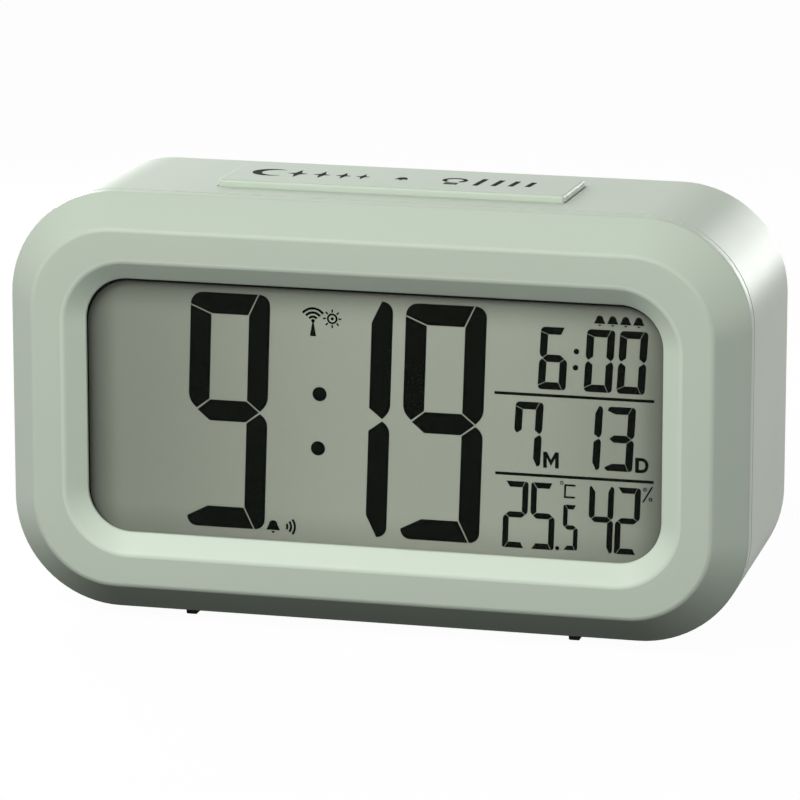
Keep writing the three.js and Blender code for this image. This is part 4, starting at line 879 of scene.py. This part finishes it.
# Setting buttons. Six small caps a shade deeper than the case, with a dished top, each held in its hole by
# a flange and pressed against its switch.
sage_deep = moulded(
    "sage_button_plastic", srgb(178, 192, 175), srgb(174, 188, 171), 8.0, 0.4, 0.03, 0.2, 0.01
)
BUTTON_PROFILE = (
    (0.0, -0.62), (1.2, -0.66), (2.2, -0.78), (2.75, -0.9), (3.02, -0.88), (3.22, -0.76), (3.3, -0.55),
    (3.3, 2.5), (4.5, 2.5), (4.5, 3.5), (1.5, 3.5), (1.5, 4.7), (0.0, 4.7),
)


def turned(bm, points, axis, closed=False, steps=48):
    """Spins a line of points about an axis through the origin."""
    line = [bm.verts.new(point) for point in points]
    pairs = list(zip(line, line[1:])) + ([(line[-1], line[0])] if closed else [])
    edges = [bm.edges.new(pair) for pair in pairs]
    bmesh.ops.spin(
        bm, geom=line + edges, cent=(0, 0, 0), axis=axis, dvec=(0, 0, 0),
        angle=math.radians(360), steps=steps, use_merge=True, use_duplicate=False,
    )
    bmesh.ops.remove_doubles(bm, verts=bm.verts, dist=0.001)


for name, x in zip(BUTTON_NAMES, BUTTONS_X):
    bm = bmesh.new()
    turned(bm, [(radius, -depth, 0.0) for radius, depth in BUTTON_PROFILE], (0, 1, 0), steps=40)
    bmesh.ops.translate(bm, vec=(x, FRONT + DEPTH, MIDDLE + BUTTONS_Z), verts=bm.verts)
    piece(f"{name}_cap", bm, f"{name}_button", sage_deep, [f"{name}_button"])

# Signs by the buttons and the alarm switch. Pad-printed in the same dark ink above each of them, as plain
# marks: a ring, three bars, a plus, a minus, a bell and waves, and a bell and a ring for the switch.
bm = bmesh.new()
sign_z = BUTTONS_Z + 6.2
switch_sign_z = BUTTONS_Z + 5.0
ring(bm, BUTTONS_X[0], sign_z, 0.95, 0.32)
for rise in (-0.8, 0.0, 0.8):
    dash(bm, BUTTONS_X[1], sign_z + rise, 0.0, -1.1, 1.1, 0.32)
dash(bm, BUTTONS_X[2], sign_z, 0.0, -1.1, 1.1, 0.34)
dash(bm, BUTTONS_X[2], sign_z, math.pi / 2, 0.2, 1.1, 0.34)
dash(bm, BUTTONS_X[2], sign_z, -math.pi / 2, 0.2, 1.1, 0.34)
dash(bm, BUTTONS_X[3], sign_z, 0.0, -1.1, 1.1, 0.34)
bell(bm, BUTTONS_X[4], sign_z, 2.4)
for radius in (0.5, 1.1, 1.7):
    ring(bm, BUTTONS_X[5], sign_z - 0.7, radius, 0.3, 40, 140, 10)
bell(bm, 37.0, switch_sign_z, 2.4)
ring(bm, 42.2, switch_sign_z, 0.85, 0.3)
thicken(bm)
stand = Matrix.Translation((0.0, FRONT + DEPTH - 0.01, MIDDLE)) @ FACING_BACK
bmesh.ops.transform(bm, matrix=stand @ Matrix.Diagonal((1.0, -1.0, 1.0, 1.0)), verts=bm.verts)
piece("rear_signs", bm, "case", ink)

# Alarm switch. A black knob with a grip groove that slides in its slot, over the plated switch below it.
KNOB_HALF = (2.2, 1.6)
KNOB_FLANGE = (3.2, 2.8)
bm = bmesh.new()
box(
    bm, (KNOB_X - KNOB_HALF[0], 43.8, BUTTONS_Z - KNOB_HALF[1]),
    (KNOB_X + KNOB_HALF[0], 47.4, BUTTONS_Z + KNOB_HALF[1]),
)
tip = max(bm.faces, key=lambda face: face.calc_center_median().y)
soften(bm, list(tip.edges), 0.3, 3)
flange = bmesh.new()
box(
    flange, (KNOB_X - KNOB_FLANGE[0], 43.0, BUTTONS_Z - KNOB_FLANGE[1]),
    (KNOB_X + KNOB_FLANGE[0], 44.0, BUTTONS_Z + KNOB_FLANGE[1]),
)
bm = carve(bm, "UNION", flange)
grooves = bmesh.new()
for x in (KNOB_X - 1.1, KNOB_X, KNOB_X + 1.1):
    box(grooves, (x - 0.22, 47.05, 10.0), (x + 0.22, 49.0, 22.0))
bm = carve(bm, "DIFFERENCE", grooves)
piece("alarm_slider", bm, "alarm_switch_knob", black_plastic, ["alarm_switch_knob"])

# Battery door. A flat cover in the sage ABS that hooks under the housing with two tabs at its lower edge and
# clips at the top, where a dip gives a finger room. Three ribs help the thumb.
DOOR_GAP = 0.3
bm = bmesh.new()
reach = DOOR_LEDGE - DOOR_GAP
half = BAY_HALF + reach
box(bm, (-half, DOOR_SEAT + DOOR_GAP, BAY_BOTTOM - reach), (half, DEPTH, BAY_TOP + reach))
outside = max(bm.faces, key=lambda face: face.calc_center_median().y)
soften(bm, list(outside.edges), 0.25, 2)
tabs = bmesh.new()
for x in (-TAB_X, TAB_X):
    box(tabs, (x - 3.0, 42.9, -33.6), (x + 3.0, 44.0, -30.3))
    box(tabs, (x - 3.0, 43.5, -31.3), (x + 3.0, 45.0, -30.3))
bm = carve(bm, "UNION", tabs)
cuts = bmesh.new()
drum(cuts, 5.0, 45.7, BEHIND, 0.0, BAY_TOP + DOOR_LEDGE)
for step in (-1, 0, 1):
    box(cuts, (-5.0, 46.0, -3.95 + 1.6 * step), (5.0, BEHIND, -3.25 + 1.6 * step))
bm = carve(bm, "DIFFERENCE", cuts)
piece("bay_cover", bm, "battery_door", sage, ["battery_door"])

# Cells. Three AAA cells, turned end for end, that show when the door is open. Each is a drawn steel can with
# a nub at its positive end, in a plain printed sleeve that is shrunk over both shoulders.
sleeve = moulded("cell_sleeve", srgb(58, 108, 116), srgb(53, 100, 108), 9.0, 0.3, 0.04, 0.5, 0.004)
sleeve_band = moulded(
    "cell_sleeve_band", srgb(214, 216, 210), srgb(206, 208, 202), 9.0, 0.32, 0.04, 0.5, 0.004
)
CELL_DEPTH = 38.55
CELLS_Z = (-24.3, -13.1, -1.9)
BAND_FROM = 13.5
CAN_PROFILE = (
    (-22.25, 0.0), (-22.25, 3.4), (-22.0, 3.7), (-22.0, 4.5), (-21.6, 5.0), (20.7, 5.0), (21.05, 4.6),
    (21.15, 2.6), (21.35, 2.05), (22.0, 1.9), (22.18, 1.8), (22.25, 1.6), (22.25, 0.0),
)
SLEEVE_PROFILE = (
    (-22.1, 4.3), (-22.12, 4.75), (-22.0, 5.08), (-21.7, 5.25), (20.8, 5.25), (21.1, 5.1), (21.22, 4.8),
    (21.25, 4.2), (21.15, 4.2), (20.7, 5.05), (-21.6, 5.05), (-22.0, 4.3),
)
for i, z in enumerate(CELLS_Z):
    facing = -1 if i % 2 else 1
    can, film = bmesh.new(), bmesh.new()
    turned(can, [(facing * along, radius, 0.0) for along, radius in CAN_PROFILE], (1, 0, 0))
    turned(film, [(facing * along, radius, 0.0) for along, radius in SLEEVE_PROFILE], (1, 0, 0), closed=True)
    for bm in (can, film):
        bmesh.ops.translate(bm, vec=(0.0, FRONT + CELL_DEPTH, MIDDLE + z), verts=bm.verts)
    bmesh.ops.bisect_plane(
        film, geom=film.verts[:] + film.edges[:] + film.faces[:], plane_co=(facing * BAND_FROM, 0, 0),
        plane_no=(1, 0, 0),
    )
    piece(f"cell_can_{i + 1}", can, "case", steel, [f"battery_{i + 1}"])
    wrap = piece(f"cell_sleeve_{i + 1}", film, "case", sleeve)
    wrap.data.materials.append(sleeve_band)
    for polygon in wrap.data.polygons:
        polygon.material_index = 1 if facing * polygon.center.x > BAND_FROM * MM else 0

# Contacts. Nickel-plated steel strips at the ends of the bay: each has a pressed step for the nub of one
# cell, or a cone spring of coiled wire for the flat end of the next, or both where it links two cells.
nickel = moulded(
    "nickel_plate", srgb(206, 206, 202), srgb(196, 196, 192), 2.5, 0.24, 0.05, 0.3, 0.004, Metallic=1.0
)
STRIP_HALF = 4.2
STEP_HALF = 2.0
SPRING = {"coils": 3.5, "wire": 0.3, "foot": 25.7, "length": 2.8, "wide": 3.5, "narrows": 1.4}


def cone_spring(bm, side, z):
    """A coiled wire that narrows from the plate to the cell: rings of points, joined from one to the next."""
    steps, sides = 96, 10
    rings = []
    for i in range(steps + 1):
        share = i / steps
        turn = 2 * math.pi * SPRING["coils"] * share
        outwards = Vector((0.0, math.cos(turn), math.sin(turn)))
        centre = Vector((side * (SPRING["foot"] - SPRING["length"] * share), FRONT + CELL_DEPTH, MIDDLE + z))
        centre += outwards * (SPRING["wide"] - SPRING["narrows"] * share)
        ring_points = []
        for j in range(sides):
            angle = 2 * math.pi * j / sides
            reach = Vector((math.cos(angle), 0.0, 0.0)) + outwards * math.sin(angle)
            ring_points.append(bm.verts.new(centre + reach * SPRING["wire"]))
        rings.append(ring_points)
    for end in (rings[0], rings[-1]):
        bm.faces.new(end)
    skin(bm, rings)


for name, side, cells, on_spring, on_step in (
    ("contact_positive", 1, (0,), None, 0), ("contact_link_1", -1, (0, 1), 0, 1),
    ("contact_link_2", 1, (1, 2), 1, 2), ("contact_negative", -1, (2,), 2, None),
):
    bm = bmesh.new()
    low, high = sorted((side * 25.95, side * 26.45))
    box(
        bm, (low, CELL_DEPTH - STRIP_HALF, CELLS_Z[cells[0]] - STRIP_HALF),
        (high, CELL_DEPTH + STRIP_HALF, CELLS_Z[cells[-1]] + STRIP_HALF),
    )
    corners = [edge for edge in bm.edges if abs(edge.verts[0].co.x - edge.verts[1].co.x) > 0.1]
    soften(bm, corners, 0.8, 4)
    if on_step is not None:
        stamped = bmesh.new()
        low, high = sorted((side * 22.55, side * 26.2))
        z = CELLS_Z[on_step]
        box(
            stamped, (low, CELL_DEPTH - STEP_HALF, z - STEP_HALF),
            (high, CELL_DEPTH + STEP_HALF, z + STEP_HALF),
        )
        soften(stamped, stamped.edges[:], 0.4, 3)
        bm = carve(bm, "UNION", stamped)
    if on_spring is not None:
        cone_spring(bm, side, CELLS_Z[on_spring])
    piece(f"{name}_strip", bm, "case", nickel, [name])

# Floor, light and camera. A white sweep in a studio: the floor and the background are white to the camera
# and in reflections. Softboxes light the clock from above the front, from both sides and from behind.


def seen_rays(tree):
    """The share of rays that look at a surface: those of the camera, of reflections and through the pane."""
    path = tree.nodes.new("ShaderNodeLightPath")
    rays = path.outputs["Is Camera Ray"]
    for ray in ("Is Glossy Ray", "Is Transmission Ray"):
        rays = combined(tree, "MAXIMUM", rays, path.outputs[ray])
    return rays, path.outputs["Ray Length"]


def seen_white(name, tone, seen):
    """A dull surface that the camera and mirrors see lit up, with painted shade close by, where the clock
    shades it.
    """
    material = bpy.data.materials.new(name)
    material.use_nodes = True
    tree = material.node_tree
    tree.nodes.clear()
    output = tree.nodes.new("ShaderNodeOutputMaterial")
    dull = tree.nodes.new("ShaderNodeBsdfDiffuse")
    dull.inputs["Color"].default_value = (tone, tone, tone, 1.0)
    glow = tree.nodes.new("ShaderNodeEmission")
    rays, distance = seen_rays(tree)
    # Painted shade: the glow fades for rays that reach the floor from close by, under the clock.
    near = ranged(tree, distance, 0.0, seen, 4 * MM, 60 * MM, "SMOOTHSTEP")
    tree.links.new(combined(tree, "MULTIPLY", rays, near), glow.inputs["Strength"])
    both = tree.nodes.new("ShaderNodeAddShader")
    tree.links.new(dull.outputs["BSDF"], both.inputs[0])
    tree.links.new(glow.outputs["Emission"], both.inputs[1])
    tree.links.new(both.outputs["Shader"], output.inputs["Surface"])
    return material


bm = bmesh.new()
bmesh.ops.create_grid(bm, x_segments=1, y_segments=1, size=3.0)
mesh = bpy.data.meshes.new("floor")
bm.to_mesh(mesh)
bm.free()
floor = bpy.data.objects.new("floor", mesh)
bpy.context.scene.collection.objects.link(floor)
mesh.materials.append(seen_white("floor_white", 0.03, 0.97))

world = bpy.data.worlds.new("studio")
bpy.context.scene.world = world
world.use_nodes = True
tree = world.node_tree
background = tree.nodes["Background"]
background.inputs["Color"].default_value = (1.0, 1.0, 1.0, 1.0)
WORLD_LIGHT = 0.01
tree.links.new(ranged(tree, seen_rays(tree)[0], WORLD_LIGHT, 1.0), background.inputs["Strength"])

# Softboxes: place in metres, side in metres, power in watts. Each faces the clock.
AIM = Vector((0.0, 0.0, 0.04))
for name, place, side, power in (
    ("key", (-0.35, -0.75, 0.75), 0.6, 8.5), ("key_right", (0.35, -0.8, 0.7), 0.6, 0.8),
    ("fill", (0.1, -1.0, 0.52), 0.6, 1.2), ("fill_right", (0.5, -0.95, 0.48), 0.6, 2.2),
    ("left_low", (-1.0, -0.4, 0.2), 0.5, 0.95), ("left_top", (-0.24, 0.27, 0.2), 0.1, 0.85),
    ("right_low", (1.0, -0.1, 0.12), 0.5, 1.1), ("right_rear", (0.95, 0.45, 0.08), 0.3, 2.0),
    ("corner", (0.33, 1.02, 0.17), 0.36, 1.7), ("corner_low", (0.48, 1.0, 0.06), 0.3, 1.4),
):
    lamp = bpy.data.lights.new(name, "AREA")
    lamp.shape = "RECTANGLE"
    lamp.size = lamp.size_y = side
    lamp.energy = power
    softbox = bpy.data.objects.new(name, lamp)
    bpy.context.scene.collection.objects.link(softbox)
    softbox.location = place
    softbox.rotation_euler = (Vector(place) - AIM).to_track_quat("Z", "Y").to_euler()
    softbox.visible_camera = False

# The camera, fitted to the outlines of the bezel, the window and the feet in the photograph.
camera = bpy.data.cameras.new("camera")
camera.sensor_width = 36.0
camera.lens = 238.7
eye = bpy.data.objects.new("camera", camera)
bpy.context.scene.collection.objects.link(eye)
right, up, back = (0.97056, 0.24087, 0.0), (-0.05695, 0.22947, 0.97165), (0.23404, -0.94304, 0.23643)
place = Vector((223.26, -875.53 + FRONT, 224.21 + MIDDLE)) * MM
eye.matrix_world = Matrix.Translation(place) @ Matrix((right, up, back)).transposed().to_4x4()
bpy.context.scene.camera = eye
bpy.context.scene.view_settings.view_transform = "Standard"
